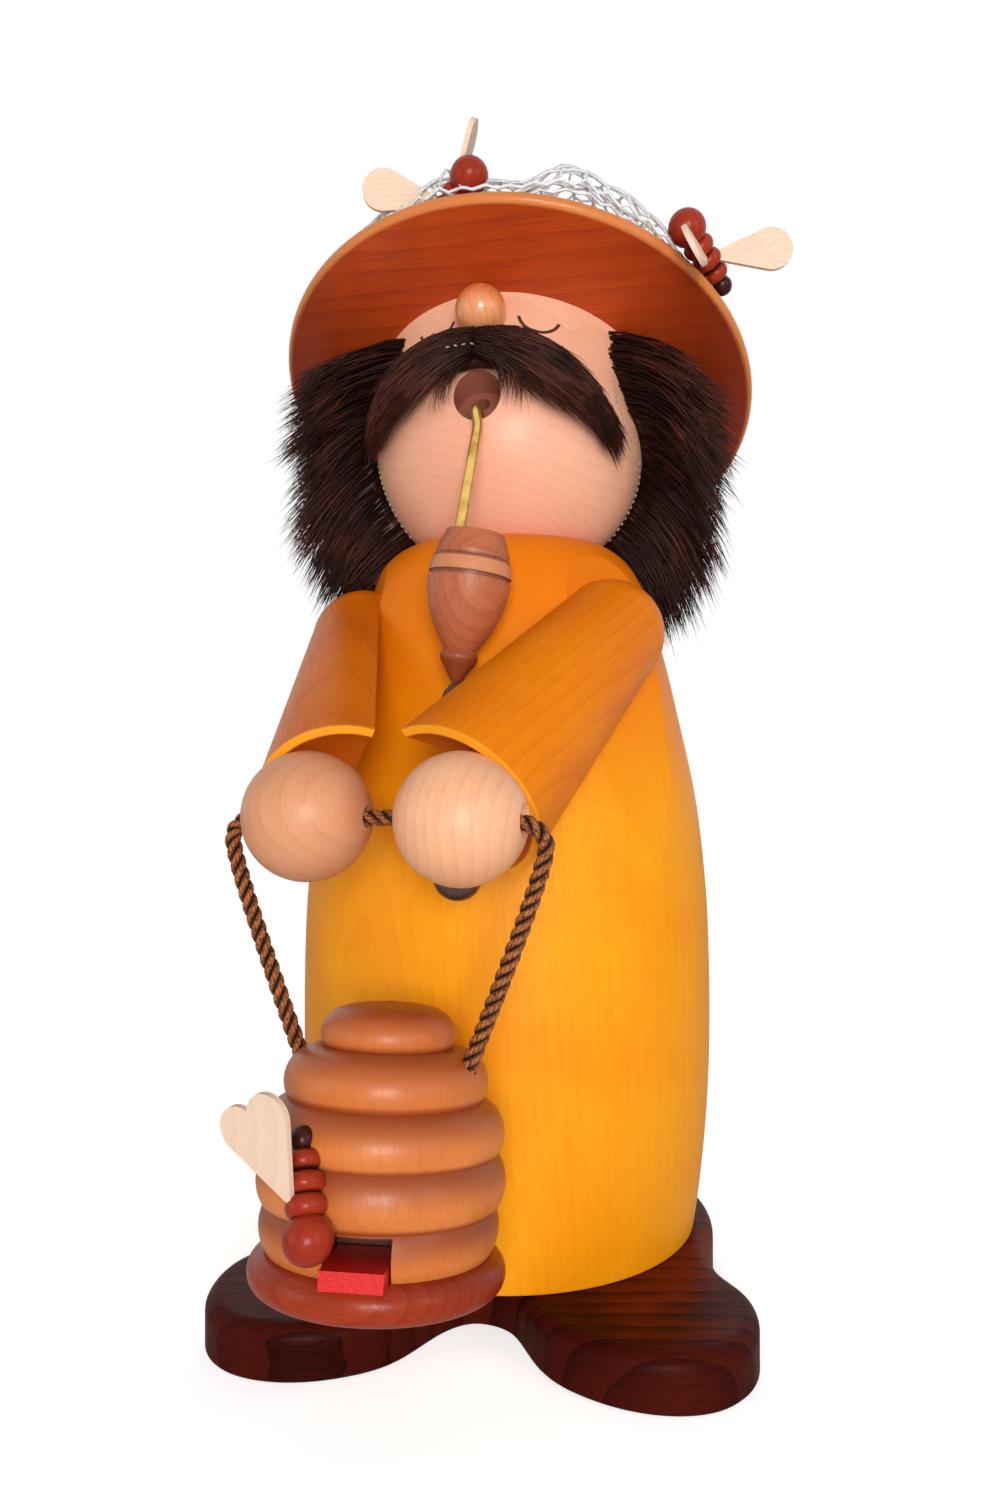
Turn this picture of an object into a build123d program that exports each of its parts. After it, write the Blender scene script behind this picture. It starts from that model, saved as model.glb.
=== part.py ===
from build123d import *
import math
import os

os.makedirs("parts", exist_ok=True)

# Frame: millimetres, +Z up, the figure looks along -Y and +X is its own left.
# The origin is on the table, on the turning axis of the coat.

# Fits
glue_gap = 0.05
slip_gap = 0.45
soft_gap = 0.3
cut_over = 4.0

# Shoe base
base_thickness = 20.0
base_half_width = 106.0
base_front_reach = 118.0
base_back_reach = 91.0
base_top_rounding = 6.0
base_foot_chamfer = 1.0
base_turn = 9.0

# Plug that the coat slips over, its screws and the burner on it
plug_height = 14.0
plug_chamfer = 1.5
plug_screw_radius = 1.9
plug_screw_head_radius = 3.8
plug_screw_length = 28.0
plug_screw_reach = 38.0
dish_radius = 19.0
dish_height = 8.0
dish_wall = 1.2
burner_screw_radius = 1.7
burner_screw_head_radius = 3.6
burner_screw_head_height = 1.8
burner_screw_length = 11.0

# Coat
coat_height = 298.0
coat_radius = 90.3
coat_foot_rounding = 1.2
bore_radius = 60.0
bore_height = 195.0
bore_cone_height = 50.0
throat_radius = 15.0
draught_radius = 8.0
draught_height = 32.0

# Flats on the coat's shoulders, where the arms are glued
shoulder_side = 56.3
shoulder_front = 30.2
shoulder_below_top = 39.4
flat_swing = 31.5
flat_lean = 15.0

# Arms
arm_slope = 36.0
sleeve_length = 122.0
sleeve_shoulder_radius = 21.5
sleeve_cuff_radius = 32.5
sleeve_dome_height = 17.0
cuff_rim = 3.2
cuff_dish_depth = 13.0
hand_radius = 22.5
hand_reach = 13.2
hand_off_flat = 13.6
hand_dowel_radius = 3.0
hand_dowel_length = 18.0
hand_dowel_in_hand = 8.0
shoulder_dowel_radius = 4.0
shoulder_dowel_in_coat = 10.0
shoulder_dowel_in_sleeve = 9.0
shoulder_dowel_along_arm = 12.0

# Buttons
button_radius = 9.5
button_thickness = 4.0
button_rounding = 2.4
button_sink = 1.2
button_turn = 5.0

# Head
head_radius = 61.0
head_top_radius = 65.0
head_top_height = 26.7
head_lift = 47.0
head_centre_back = 5.0
head_tilt = 30.0
head_turn = 4.0
head_chamber_radius = 26.0
head_chamber_drop = 14.0
neck_tube_radius = 14.9
neck_tube_wall = 4.5
neck_tube_length = 46.0
neck_tube_in_coat = 24.0

# Mouth and nose
mouth_drop = 23.3
mouth_radius = 9.8
mouth_depth = 9.0
smoke_hole_radius = 3.4
smoke_hole_rise = 2.8
nose_radius = 10.5
nose_height = 11.0
nose_sink = 2.5

# Pipe
stem_radius = 2.1
stem_bore_radius = 1.3
stem_hole_drop = 5.6
stem_hole_depth = 14.0
stem_lip = 1.0
stem_bend_radius = 4.4
stem_elbow_radius = 14.0
stem_elbow_side = 2.6
stem_elbow_reach = 3.7
stem_elbow_drop = 10.2
stem_foot_side = 0.5
stem_foot_inset = 8.3
stem_foot_drop = 45.0
stem_in_bowl = 12.0
bowl_top_side = 7.4
bowl_top_reach = 2.7
bowl_top_drop = 2.8
bowl_tip_side = 7.5
bowl_tip_reach = 2.5
bowl_tip_drop = 57.4
bowl_radius = 15.8
bowl_groove_width = 2.0
bowl_groove_depth = 1.1

# Hat
brim_radius = 108.0
brim_thickness = 6.0
brim_rounding = 2.8
crown_radius = 57.0
crown_top_radius = 52.0
crown_height = 42.0
crown_rounding = 14.0
hat_dowel_radius = 5.0
hat_dowel_in_head = 12.0
hat_dowel_in_crown = 18.0

# Veil bunched on the brim round the crown
veil_inner_radius = 70.0
veil_outer_radius = 97.0
veil_height = 30.0
veil_thickness = 1.4
veil_shift = 10.0
veil_shift_angle = 15.0

# Hair strip and moustache, both fur on a knitted backing
hair_reach = 44.0
hair_front_angle = 64.0
hair_root_drop = 44.0
hair_hang_drop = 86.0
hair_rise = 34.0
moustache_drop = 4.0
moustache_tip_drop = 23.0
moustache_tip_angle = 58.0
moustache_depth = 15.0
moustache_half_thickness = 11.0

# Bees, the same turned piece three times
bee_head_radius = 7.7
bee_ring_radius = 6.4
bee_core_radius = 4.7
bee_tail_radius = 2.4
bee_length = 32.5
wing_reach = 36.4
wing_width = 17.5
wing_root_width = 3.6
wing_thickness = 2.0
wing_slot_depth = 3.0
wing_place_share = 0.45

# Bees on the hat, measured from the head's axis on the brim
left_bee_front = 106.0
left_bee_side = 0.7
left_bee_rise = 12.0
left_bee_heading = 225.0
left_bee_dip = 10.0
right_bee_front = 73.3
right_bee_side = 83.2
right_bee_rise = 11.0
right_bee_heading = 153.0
right_bee_dip = 9.0

# Directions of the wings in degrees: heading and rise of the wing, then of its face
left_flat_wing_degrees = (197.5, 13.5, -72.5, 0.0)
left_upright_wing_degrees = (17.5, 73.0, 197.5, 17.0)
right_flat_wing_degrees = (17.5, 7.4, -72.5, 0.0)
right_upright_wing_degrees = (-91.5, -13.2, -7.7, 24.8)

# Hive
hive_lean = 7.5
hive_drop = 115.7
hive_rib_radius = 41.5
hive_body_height = 80.0
hive_body_under = 26.5
plate_radius = 42.5
plate_thickness = 12.5
plate_rounding = 6.0
door_width = 21.0
door_height = 13.5
door_depth = 25.0
door_turn = 13.0
board_width = 19.5
board_height = 5.8
board_outer_radius = 45.6
board_inner_radius = 20.0
hive_dowel_radius = 6.0
hive_dowel_in_plate = 7.0
hive_dowel_in_body = 16.0

# Bee and heart-shaped wings on the hive
hive_bee_side = 2.5
hive_bee_off_rib = 6.5
hive_bee_rise = 14.5
hive_bee_heading = 123.0
hive_bee_climb = 57.0
heart_tip_side = 6.8
heart_tip_back = 0.8
heart_tip_rise = 11.5
heart_swing = -12.0
heart_lean = 8.0
heart_roll = 26.8
heart_lobe_radius = 7.6
heart_lobe_side = 6.3
heart_lobe_height = 23.5
heart_tip_radius = 1.4
heart_thickness = 2.0

# Rope
rope_radius = 2.9
rope_hole_gap = 0.6
rope_flare = 1.4
rope_inside_hand = 9.0
rope_past_hand = 6.3
rope_knee_drop = 17.0
rope_knee_side = 56.6
rope_foot_side = 26.5
rope_foot_above_hive = 24.7
rope_in_hive = 8.0


def aimed(heading, rise):
    """Unit vector from a heading about Z and a rise above level, in degrees."""
    level = math.cos(math.radians(rise))
    return Vector(
        level * math.cos(math.radians(heading)),
        level * math.sin(math.radians(heading)),
        math.sin(math.radians(rise)),
    )


def finish(builder, name):
    builder.part.label = name
    export_step(builder.part, f"parts/{name}.step")


# Shoe base: one plate cut to the outline of two shoes, toes to the front

shoe_front_shares = (
    (0.0, 0.56),
    (0.10, 0.60),
    (0.18, 0.71),
    (0.28, 0.855),
    (0.42, 0.945),
    (0.57, 0.992),
    (0.70, 0.998),
    (0.85, 0.955),
    (0.955, 0.85),
    (1.0, 0.69),
    (0.965, 0.52),
    (0.88, 0.39),
    (0.855, 0.24),
)
shoe_back_shares = (
    (0.868, 0.03),
    (0.82, 0.36),
    (0.63, 0.715),
    (0.33, 0.94),
    (0.0, 1.0),
)
shoe_right_points = [(x * base_half_width, -y * base_front_reach) for x, y in shoe_front_shares]
shoe_right_points += [(x * base_half_width, y * base_back_reach) for x, y in shoe_back_shares]
shoe_left_points = [(-x, y) for x, y in reversed(shoe_right_points[1:-1])]
base_plane = Plane.XY.rotated((0, 0, base_turn))
under_base = Plane(origin=(0, 0, 0), x_dir=(1, 0, 0), z_dir=(0, 0, -1))

with BuildPart() as shoe_base:
    with BuildSketch(base_plane):
        with BuildLine():
            Spline(*shoe_right_points, *shoe_left_points, periodic=True)
        make_face()
    extrude(amount=base_thickness)
    fillet(shoe_base.edges().group_by(Axis.Z)[-1], radius=base_top_rounding)
    chamfer(shoe_base.edges().group_by(Axis.Z)[0], length=base_foot_chamfer)
    with Locations(under_base):
        with PolarLocations(plug_screw_reach, 3, start_angle=90):
            CounterSinkHole(
                radius=plug_screw_radius + glue_gap,
                counter_sink_radius=plug_screw_head_radius + glue_gap,
                depth=base_thickness,
            )
finish(shoe_base, "shoe_base")

# Plug: a turned disc on the base, a slip fit in the bore of the coat

plug_radius = bore_radius - slip_gap
plug_top = base_thickness + plug_height

with BuildPart() as base_plug:
    with BuildSketch(Plane.XY.offset(base_thickness)):
        Circle(plug_radius)
    extrude(amount=plug_height)
    chamfer(base_plug.edges().group_by(Axis.Z)[-1], length=plug_chamfer)
    with Locations(under_base.offset(-base_thickness)):
        with PolarLocations(plug_screw_reach, 3, start_angle=90):
            Hole(radius=plug_screw_radius + glue_gap, depth=plug_screw_length - base_thickness + glue_gap)
    with BuildSketch(Plane.XY.offset(plug_top)):
        Circle(burner_screw_radius + glue_gap)
    extrude(amount=-(burner_screw_length - dish_wall + glue_gap), mode=Mode.SUBTRACT)
finish(base_plug, "base_plug")

# Plug screws: three countersunk wood screws from under the base

screw_cone_height = plug_screw_head_radius - plug_screw_radius

with BuildPart() as plug_screws:
    with Locations(under_base):
        with PolarLocations(plug_screw_reach, 3, start_angle=90):
            Cylinder(
                radius=plug_screw_radius,
                height=plug_screw_length,
                align=(Align.CENTER, Align.CENTER, Align.MAX),
            )
            Cone(
                bottom_radius=plug_screw_radius,
                top_radius=plug_screw_head_radius,
                height=screw_cone_height,
                align=(Align.CENTER, Align.CENTER, Align.MAX),
            )
finish(plug_screws, "plug_screws")

# Burner dish: a pressed brass pan that holds the incense cone

with BuildPart() as burner_dish:
    with BuildSketch(Plane.XY.offset(plug_top)):
        Circle(dish_radius)
    extrude(amount=dish_height)
    with BuildSketch(Plane.XY.offset(plug_top + dish_wall)):
        Circle(dish_radius - dish_wall)
    extrude(amount=dish_height, mode=Mode.SUBTRACT)
    with BuildSketch(Plane.XY.offset(plug_top)):
        Circle(burner_screw_radius + glue_gap)
    extrude(amount=dish_wall, mode=Mode.SUBTRACT)
finish(burner_dish, "burner_dish")

# Burner screw: a round-head screw through the pan into the plug

with BuildPart() as burner_screw:
    with BuildSketch(Plane.XY.offset(plug_top + dish_wall)):
        Circle(burner_screw_head_radius)
    extrude(amount=burner_screw_head_height)
    fillet(burner_screw.edges().group_by(Axis.Z)[-1], radius=burner_screw_head_height - glue_gap)
    with BuildSketch(Plane.XY.offset(plug_top + dish_wall)):
        Circle(burner_screw_radius)
    extrude(amount=-burner_screw_length)
finish(burner_screw, "burner_screw")

# Directions of the left arm: the flat faces outwards, the arm slopes down in its plane

coat_top = base_thickness + coat_height
shoulder_height = coat_top - shoulder_below_top
swing = math.radians(flat_swing)
lean = math.radians(flat_lean)
slope = math.radians(arm_slope)
flat_out = Vector(
    math.cos(lean) * math.cos(swing),
    -math.cos(lean) * math.sin(swing),
    math.sin(lean),
)
flat_level = Vector(-math.sin(swing), -math.cos(swing), 0)
flat_up = flat_out.cross(flat_level) * -1
arm_down = flat_level * math.cos(slope) - flat_up * math.sin(slope)
shoulder = Vector(shoulder_side, -shoulder_front, shoulder_height)
cuff = shoulder + arm_down * sleeve_length
hand_centre = cuff + arm_down * hand_reach + flat_out * hand_off_flat
shoulder_dowel_centre = shoulder + arm_down * shoulder_dowel_along_arm
flat_plane = Plane(origin=shoulder, x_dir=arm_down, z_dir=flat_out)
shoulder_dowel_plane = Plane(origin=shoulder_dowel_centre, x_dir=arm_down, z_dir=flat_out)

# Directions of the head: tilted back, and turned a little to the figure's left

head_centre_height = coat_top + head_lift
turn = math.radians(head_turn)
tilt = math.radians(head_tilt)
facing = Vector(math.sin(turn), -math.cos(turn), 0)
head_left = Vector(math.cos(turn), math.sin(turn), 0)
head_up = Vector(0, 0, math.cos(tilt)) - facing * math.sin(tilt)
face_out = facing * math.cos(tilt) + Vector(0, 0, math.sin(tilt))
head_centre = Vector(0, head_centre_back, head_centre_height)
head_level = Plane(origin=head_centre, x_dir=head_left, z_dir=head_up)
head_side = Plane(origin=head_centre, x_dir=head_left, z_dir=face_out)
head_axis = Axis(origin=head_centre, direction=head_up)

# Coat: a turned, bored block with two flats for the arms and a dish for the head

coat_side_shares = (
    (0.924, 0.0),
    (0.971, 0.111),
    (1.0, 0.255),
    (1.0, 0.372),
    (0.991, 0.460),
    (0.967, 0.550),
    (0.928, 0.638),
    (0.864, 0.728),
    (0.800, 0.812),
    (0.735, 0.885),
    (0.665, 0.945),
    (0.585, 0.980),
    (0.480, 1.0),
)
coat_points = [(r * coat_radius, base_thickness + h * coat_height) for r, h in coat_side_shares]
bore_top = base_thickness + bore_height
throat_foot = bore_top + bore_cone_height
coat_flat_size = coat_radius * 2

with BuildPart() as coat:
    with BuildSketch(Plane.XZ):
        with BuildLine():
            coat_side = Spline(*coat_points)
            Polyline(coat_side @ 1, (0, coat_top), (0, base_thickness), coat_side @ 0)
        make_face()
    revolve(axis=Axis.Z)
    fillet(coat.edges().group_by(Axis.Z)[0], radius=coat_foot_rounding)
    with BuildSketch(Plane.XZ):
        with BuildLine():
            Polyline(
                (0, base_thickness - cut_over),
                (bore_radius, base_thickness - cut_over),
                (bore_radius, bore_top),
                (throat_radius, throat_foot),
                (throat_radius, coat_top + cut_over),
                (0, coat_top + cut_over),
                close=True,
            )
        make_face()
    revolve(axis=Axis.Z, mode=Mode.SUBTRACT)
    for side in (1, -1):
        out = Vector(flat_out.X * side, flat_out.Y, flat_out.Z)
        seat = Vector(shoulder.X * side, shoulder.Y, shoulder.Z)
        dowel = Vector(shoulder_dowel_centre.X * side, shoulder_dowel_centre.Y, shoulder_dowel_centre.Z)
        with BuildSketch(Plane(origin=seat, z_dir=out)):
            Rectangle(coat_flat_size, coat_flat_size)
        extrude(amount=coat_radius, mode=Mode.SUBTRACT)
        with BuildSketch(Plane(origin=dowel, z_dir=out)):
            Circle(shoulder_dowel_radius + glue_gap)
        extrude(amount=-(shoulder_dowel_in_coat + glue_gap), mode=Mode.SUBTRACT)
    with Locations(head_centre):
        Sphere(head_radius + glue_gap, mode=Mode.SUBTRACT)
    with BuildSketch(Plane.XZ.offset(-coat_radius)):
        with Locations((0, plug_top + draught_height - draught_radius)):
            Circle(draught_radius)
    extrude(amount=coat_radius, mode=Mode.SUBTRACT)

# Buttons: domed discs let into the coat's front, the top one half behind the sleeve

button_place_shares = (0.52, 0.63, 0.735)
button_names = ("button_lower", "button_middle", "button_upper")
button_planes = []
for share in button_place_shares:
    on_side = coat_side @ share
    along_side = coat_side % share
    outward = Vector(along_side.Y, 0, -along_side.X)
    seat = Vector(on_side.X, 0, on_side.Y) - outward * button_sink
    button_planes.append(
        Plane(
            origin=seat.rotate(Axis.Z, button_turn - 90),
            z_dir=outward.rotate(Axis.Z, button_turn - 90),
        )
    )

with coat:
    for plane in button_planes:
        with BuildSketch(plane):
            Circle(button_radius + glue_gap)
        extrude(amount=button_radius, mode=Mode.SUBTRACT)
finish(coat, "coat")

for name, plane in zip(button_names, button_planes):
    with BuildPart() as button:
        with BuildSketch(plane):
            Circle(button_radius)
        extrude(amount=button_thickness + button_sink)
        button_top = button.faces().sort_by(Axis(origin=plane.origin, direction=plane.z_dir))[-1]
        fillet(button_top.edges(), radius=button_rounding)
    finish(button, name)

# Neck tube: a hollow dowel that carries the head and lets the smoke up

neck_foot = head_centre_height - head_radius - neck_tube_in_coat

with BuildPart() as neck_tube:
    with BuildSketch(Plane.XY.offset(neck_foot)):
        Circle(neck_tube_radius)
        Circle(neck_tube_radius - neck_tube_wall, mode=Mode.SUBTRACT)
    extrude(amount=neck_tube_length)
finish(neck_tube, "neck_tube")

# Head: egg-shaped, flat on top, with a smoke chamber, a mouth and a bored neck

mouth_out = math.sqrt(head_radius**2 - mouth_drop**2)
mouth_centre = head_centre - head_up * mouth_drop + face_out * mouth_out
mouth_floor = Plane(origin=mouth_centre, x_dir=head_left, z_dir=face_out).offset(-mouth_depth)
stem_hole_centre = mouth_centre - head_up * stem_hole_drop
stem_hole_floor = Plane(origin=stem_hole_centre, x_dir=head_left, z_dir=face_out).offset(-mouth_depth)
nose_out = head_radius + nose_radius - nose_sink
nose_centre = head_centre + head_up * nose_height + face_out * nose_out

with BuildPart() as head:
    with BuildSketch(head_side):
        with BuildLine():
            jaw = CenterArc(center=(0, 0), radius=head_radius, start_angle=-90, arc_size=90)
            brow = TangentArc(jaw @ 1, (head_top_radius, head_top_height), tangent=(0, 1))
            Polyline(brow @ 1, (0, head_top_height), jaw @ 0)
        make_face()
    revolve(axis=head_axis)
    with Locations(head_centre - head_up * head_chamber_drop):
        Sphere(head_chamber_radius, mode=Mode.SUBTRACT)
    with BuildSketch(Plane.XY.offset(neck_foot)):
        Circle(neck_tube_radius + glue_gap)
    extrude(amount=head_centre_height - neck_foot, mode=Mode.SUBTRACT)
    with BuildSketch(mouth_floor):
        Circle(mouth_radius)
    extrude(amount=mouth_depth + mouth_radius, mode=Mode.SUBTRACT)
    with BuildSketch(mouth_floor):
        with Locations((0, smoke_hole_rise)):
            Circle(smoke_hole_radius)
    extrude(amount=-(mouth_out - mouth_depth), mode=Mode.SUBTRACT)
    with BuildSketch(stem_hole_floor):
        Circle(stem_radius + glue_gap)
    extrude(amount=-stem_hole_depth, mode=Mode.SUBTRACT)
    with Locations(nose_centre):
        Sphere(nose_radius + glue_gap, mode=Mode.SUBTRACT)
    with BuildSketch(head_level.offset(head_top_height)):
        Circle(hat_dowel_radius + glue_gap)
    extrude(amount=-(hat_dowel_in_head + glue_gap), mode=Mode.SUBTRACT)
finish(head, "head")

# Nose: a small ball glued in a dimple

with BuildPart() as nose:
    with Locations(nose_centre):
        Sphere(nose_radius)
finish(nose, "nose")

# Hat: a flat turned brim and a low round crown, on one dowel

brim_under = head_level.offset(head_top_height)
brim_top = brim_under.offset(brim_thickness)

with BuildPart() as hat_brim:
    with BuildSketch(brim_under):
        Circle(brim_radius)
    extrude(amount=brim_thickness)
    fillet(hat_brim.edges().filter_by(GeomType.CIRCLE), radius=brim_rounding)
    with BuildSketch(brim_under):
        Circle(hat_dowel_radius + glue_gap)
    extrude(amount=brim_thickness, mode=Mode.SUBTRACT)
finish(hat_brim, "hat_brim")

with BuildPart() as hat_crown:
    with BuildSketch(brim_top):
        Circle(crown_radius)
    with BuildSketch(brim_top.offset(crown_height)):
        Circle(crown_top_radius)
    loft()
    fillet(hat_crown.faces().sort_by(head_axis)[-1].edges(), radius=crown_rounding)
    with BuildSketch(brim_top):
        Circle(hat_dowel_radius + glue_gap)
    extrude(amount=hat_dowel_in_crown + glue_gap, mode=Mode.SUBTRACT)
finish(hat_crown, "hat_crown")

with BuildPart() as hat_dowel:
    with BuildSketch(brim_under.offset(-hat_dowel_in_head)):
        Circle(hat_dowel_radius)
    extrude(amount=hat_dowel_in_head + brim_thickness + hat_dowel_in_crown)
finish(hat_dowel, "hat_dowel")

# Bees: a ball for the head and a ringed abdomen, turned in one, with slots for the wings

bee_ring_shares = (1.0, 0.98, 0.88, 0.66)
bee_neck_angle = math.degrees(math.acos(bee_core_radius / bee_head_radius))
bee_neck_height = math.sqrt(bee_head_radius**2 - bee_core_radius**2)
bee_ring_pitch = (bee_length - bee_neck_height) / len(bee_ring_shares)
bee_taper = (bee_core_radius - bee_tail_radius) / len(bee_ring_shares)


def bee_body(centre, tail_dir):
    """Turned bee from the middle of its head, with its tail along tail_dir."""
    side_dir = tail_dir.cross(Vector(0, 0, 1)).normalized()
    with BuildPart() as body:
        with BuildSketch(Plane(origin=centre, x_dir=side_dir, z_dir=side_dir.cross(tail_dir))):
            with BuildLine():
                edge = CenterArc(
                    center=(0, 0), radius=bee_head_radius, start_angle=-90, arc_size=90 + bee_neck_angle
                )
                first = edge @ 0
                radius = bee_core_radius
                height = bee_neck_height
                points = [(radius, height)]
                for ring_share in bee_ring_shares:
                    core = radius - bee_taper
                    ThreePointArc(
                        points[-1],
                        (bee_ring_radius * ring_share, height + bee_ring_pitch / 2),
                        (core, height + bee_ring_pitch),
                    )
                    radius = core
                    height = height + bee_ring_pitch
                    points.append((radius, height))
                Polyline(points[-1], (0, height), (0, -bee_head_radius))
            make_face()
        revolve(axis=Axis(origin=centre, direction=tail_dir))
    return body.part


def bee_wing(centre, tail_dir, degrees):
    """Flat drop-shaped wing whose narrow end sits in the bee's slot."""
    wing_dir = aimed(degrees[0], degrees[1])
    facing_dir = aimed(degrees[2], degrees[3])
    normal = (facing_dir - wing_dir * facing_dir.dot(wing_dir)).normalized()
    root = centre + tail_dir * (bee_length * wing_place_share)
    tip_centre = wing_reach - wing_width / 2
    root_centre = bee_ring_radius - wing_slot_depth + wing_root_width / 2
    with BuildPart() as wing:
        with BuildSketch(Plane(origin=root, x_dir=wing_dir, z_dir=normal)):
            with Locations((root_centre, 0)):
                Circle(wing_root_width / 2)
            with Locations((tip_centre, 0)):
                Circle(wing_width / 2)
            make_hull()
        extrude(amount=wing_thickness / 2, both=True)
    return wing.part


def finish_bee(name, centre, tail_dir, wings):
    """Write one bee's body, slotted for its wings, and return the wings that it wrote."""
    body = bee_body(centre, tail_dir)
    wing_parts = {wing_name: bee_wing(centre, tail_dir, degrees) for wing_name, degrees in wings.items()}
    with BuildPart() as slotted:
        add(body)
        for wing_part in wing_parts.values():
            add(wing_part, mode=Mode.SUBTRACT)
    finish(slotted, name)
    for wing_name, wing_part in wing_parts.items():
        wing_part.label = wing_name
        export_step(wing_part, f"parts/{wing_name}.step")
    return list(wing_parts.values())


def brim_place(front, side, rise, heading, dip):
    """Middle of a bee's head above the brim, and the direction of its tail."""
    centre = brim_top.origin + face_out * front + head_left * side + head_up * rise
    level = math.cos(math.radians(dip))
    tail = (
        face_out * (level * math.cos(math.radians(heading)))
        + head_left * (level * math.sin(math.radians(heading)))
        - head_up * math.sin(math.radians(dip))
    )
    return centre, tail


left_bee_centre, left_bee_tail = brim_place(
    left_bee_front, -left_bee_side, left_bee_rise, left_bee_heading, left_bee_dip
)
right_bee_centre, right_bee_tail = brim_place(
    right_bee_front, right_bee_side, right_bee_rise, right_bee_heading, right_bee_dip
)
left_wings = finish_bee(
    "hat_bee_left_body",
    left_bee_centre,
    left_bee_tail,
    {
        "hat_bee_left_wing_flat": left_flat_wing_degrees,
        "hat_bee_left_wing_upright": left_upright_wing_degrees,
    },
)
right_wings = finish_bee(
    "hat_bee_right_body",
    right_bee_centre,
    right_bee_tail,
    {
        "hat_bee_right_wing_flat": right_flat_wing_degrees,
        "hat_bee_right_wing_upright": right_upright_wing_degrees,
    },
)

# Veil: the net is gathered in an arch round the crown and runs round the bees on it

veil_side_shares = ((0.0, 0.0), (0.16, 0.62), (0.42, 0.96), (0.68, 0.94), (0.9, 0.6), (1.0, 0.0))
veil_width = veil_outer_radius - veil_inner_radius
veil_out = face_out.rotate(head_axis, veil_shift_angle)
veil_centre = brim_top.origin + veil_out * veil_shift
veil_points = [(veil_inner_radius + r * veil_width, h * veil_height) for r, h in veil_side_shares]
veil_lining_width = veil_width - 2 * veil_thickness
veil_lining_height = veil_height - veil_thickness
veil_lining_points = [
    (veil_inner_radius + veil_thickness + r * veil_lining_width, h * veil_lining_height)
    for r, h in veil_side_shares
]

with BuildPart() as veil_net:
    with BuildSketch(Plane(origin=veil_centre, x_dir=head_left, z_dir=face_out)):
        with BuildLine():
            veil_skin = Spline(*veil_points)
            veil_lining = Spline(*veil_lining_points)
            Line(veil_skin @ 1, veil_lining @ 1)
            Line(veil_lining @ 0, veil_skin @ 0)
        make_face()
    revolve(axis=Axis(origin=veil_centre, direction=head_up))
    for bee_centre, bee_tail in ((left_bee_centre, left_bee_tail), (right_bee_centre, right_bee_tail)):
        with Locations(bee_centre):
            Sphere(bee_head_radius + soft_gap, mode=Mode.SUBTRACT)
        with BuildSketch(Plane(origin=bee_centre, z_dir=bee_tail)):
            Circle(bee_head_radius + soft_gap)
        extrude(amount=bee_length + soft_gap, mode=Mode.SUBTRACT)
    for wing_part in left_wings + right_wings:
        add(wing_part, mode=Mode.SUBTRACT)
finish(veil_net, "veil_net")

# Hair: one fur strip round the back of the head from cheek to cheek

hair_inner_radius = head_radius + soft_gap
hair_outer_radius = head_radius + hair_reach
hair_root_radius = math.sqrt(hair_inner_radius**2 - hair_root_drop**2)
hair_hang_share = 0.35
hair_side_shares = ((0.93, 1.0), (0.995, 0.3), (1.0, -0.2), (0.96, -0.62), (0.86, -0.9))
hair_points = [
    (r * hair_outer_radius, h * (hair_rise if h > 0 else hair_hang_drop)) for r, h in hair_side_shares
]
hair_start = facing.rotate(Axis.Z, hair_front_angle)
upright = Vector(0, 0, 1)

with BuildPart() as hair:
    with BuildSketch(Plane(origin=head_centre, x_dir=hair_start, z_dir=hair_start.cross(upright))):
        with BuildLine():
            hair_skin = Spline(*hair_points)
            hair_hang = Polyline(
                hair_skin @ 1,
                (hair_inner_radius + hair_reach * hair_hang_share, -hair_hang_drop),
                (hair_root_radius, -hair_root_drop),
            )
            Polyline(
                hair_hang @ 1,
                (0, -hair_root_drop),
                (0, hair_rise),
                hair_skin @ 0,
            )
        make_face()
    revolve(axis=Axis(origin=head_centre, direction=upright), revolution_arc=360 - 2 * hair_front_angle)
    with Locations(head_centre):
        Sphere(hair_inner_radius, mode=Mode.SUBTRACT)
    with BuildSketch(head_side):
        with BuildLine():
            keep_brow = TangentArc(
                (hair_inner_radius, 0), (head_top_radius + soft_gap, head_top_height), tangent=(0, 1)
            )
            Polyline(keep_brow @ 1, (0, head_top_height), (0, 0), keep_brow @ 0)
        make_face()
    revolve(axis=head_axis, mode=Mode.SUBTRACT)
    with BuildSketch(brim_under.offset(-soft_gap)):
        Circle(brim_radius * 2)
    extrude(amount=brim_radius, mode=Mode.SUBTRACT)
    with BuildSketch(Plane.XZ):
        with BuildLine():
            keep_side = Spline(*[(r + soft_gap, h) for r, h in coat_points])
            Polyline(
                keep_side @ 1,
                (coat_points[-1][0] + soft_gap, coat_top + soft_gap),
                (0, coat_top + soft_gap),
                (0, base_thickness),
                keep_side @ 0,
            )
        make_face()
    revolve(axis=Axis.Z, mode=Mode.SUBTRACT)
    for arm_side in (1, -1):
        keep_point = Vector(shoulder.X * arm_side, shoulder.Y, shoulder.Z)
        keep_down = Vector(arm_down.X * arm_side, arm_down.Y, arm_down.Z)
        with Locations(keep_point):
            Sphere(sleeve_shoulder_radius + soft_gap * 2, mode=Mode.SUBTRACT)
        with BuildSketch(Plane(origin=keep_point, z_dir=keep_down)):
            Circle(sleeve_shoulder_radius + soft_gap * 2)
        with BuildSketch(Plane(origin=keep_point, z_dir=keep_down).offset(sleeve_length)):
            Circle(sleeve_cuff_radius + soft_gap * 2)
        loft(mode=Mode.SUBTRACT)
finish(hair, "hair")

# Moustache: a fur piece in two lobes under the nose

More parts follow.
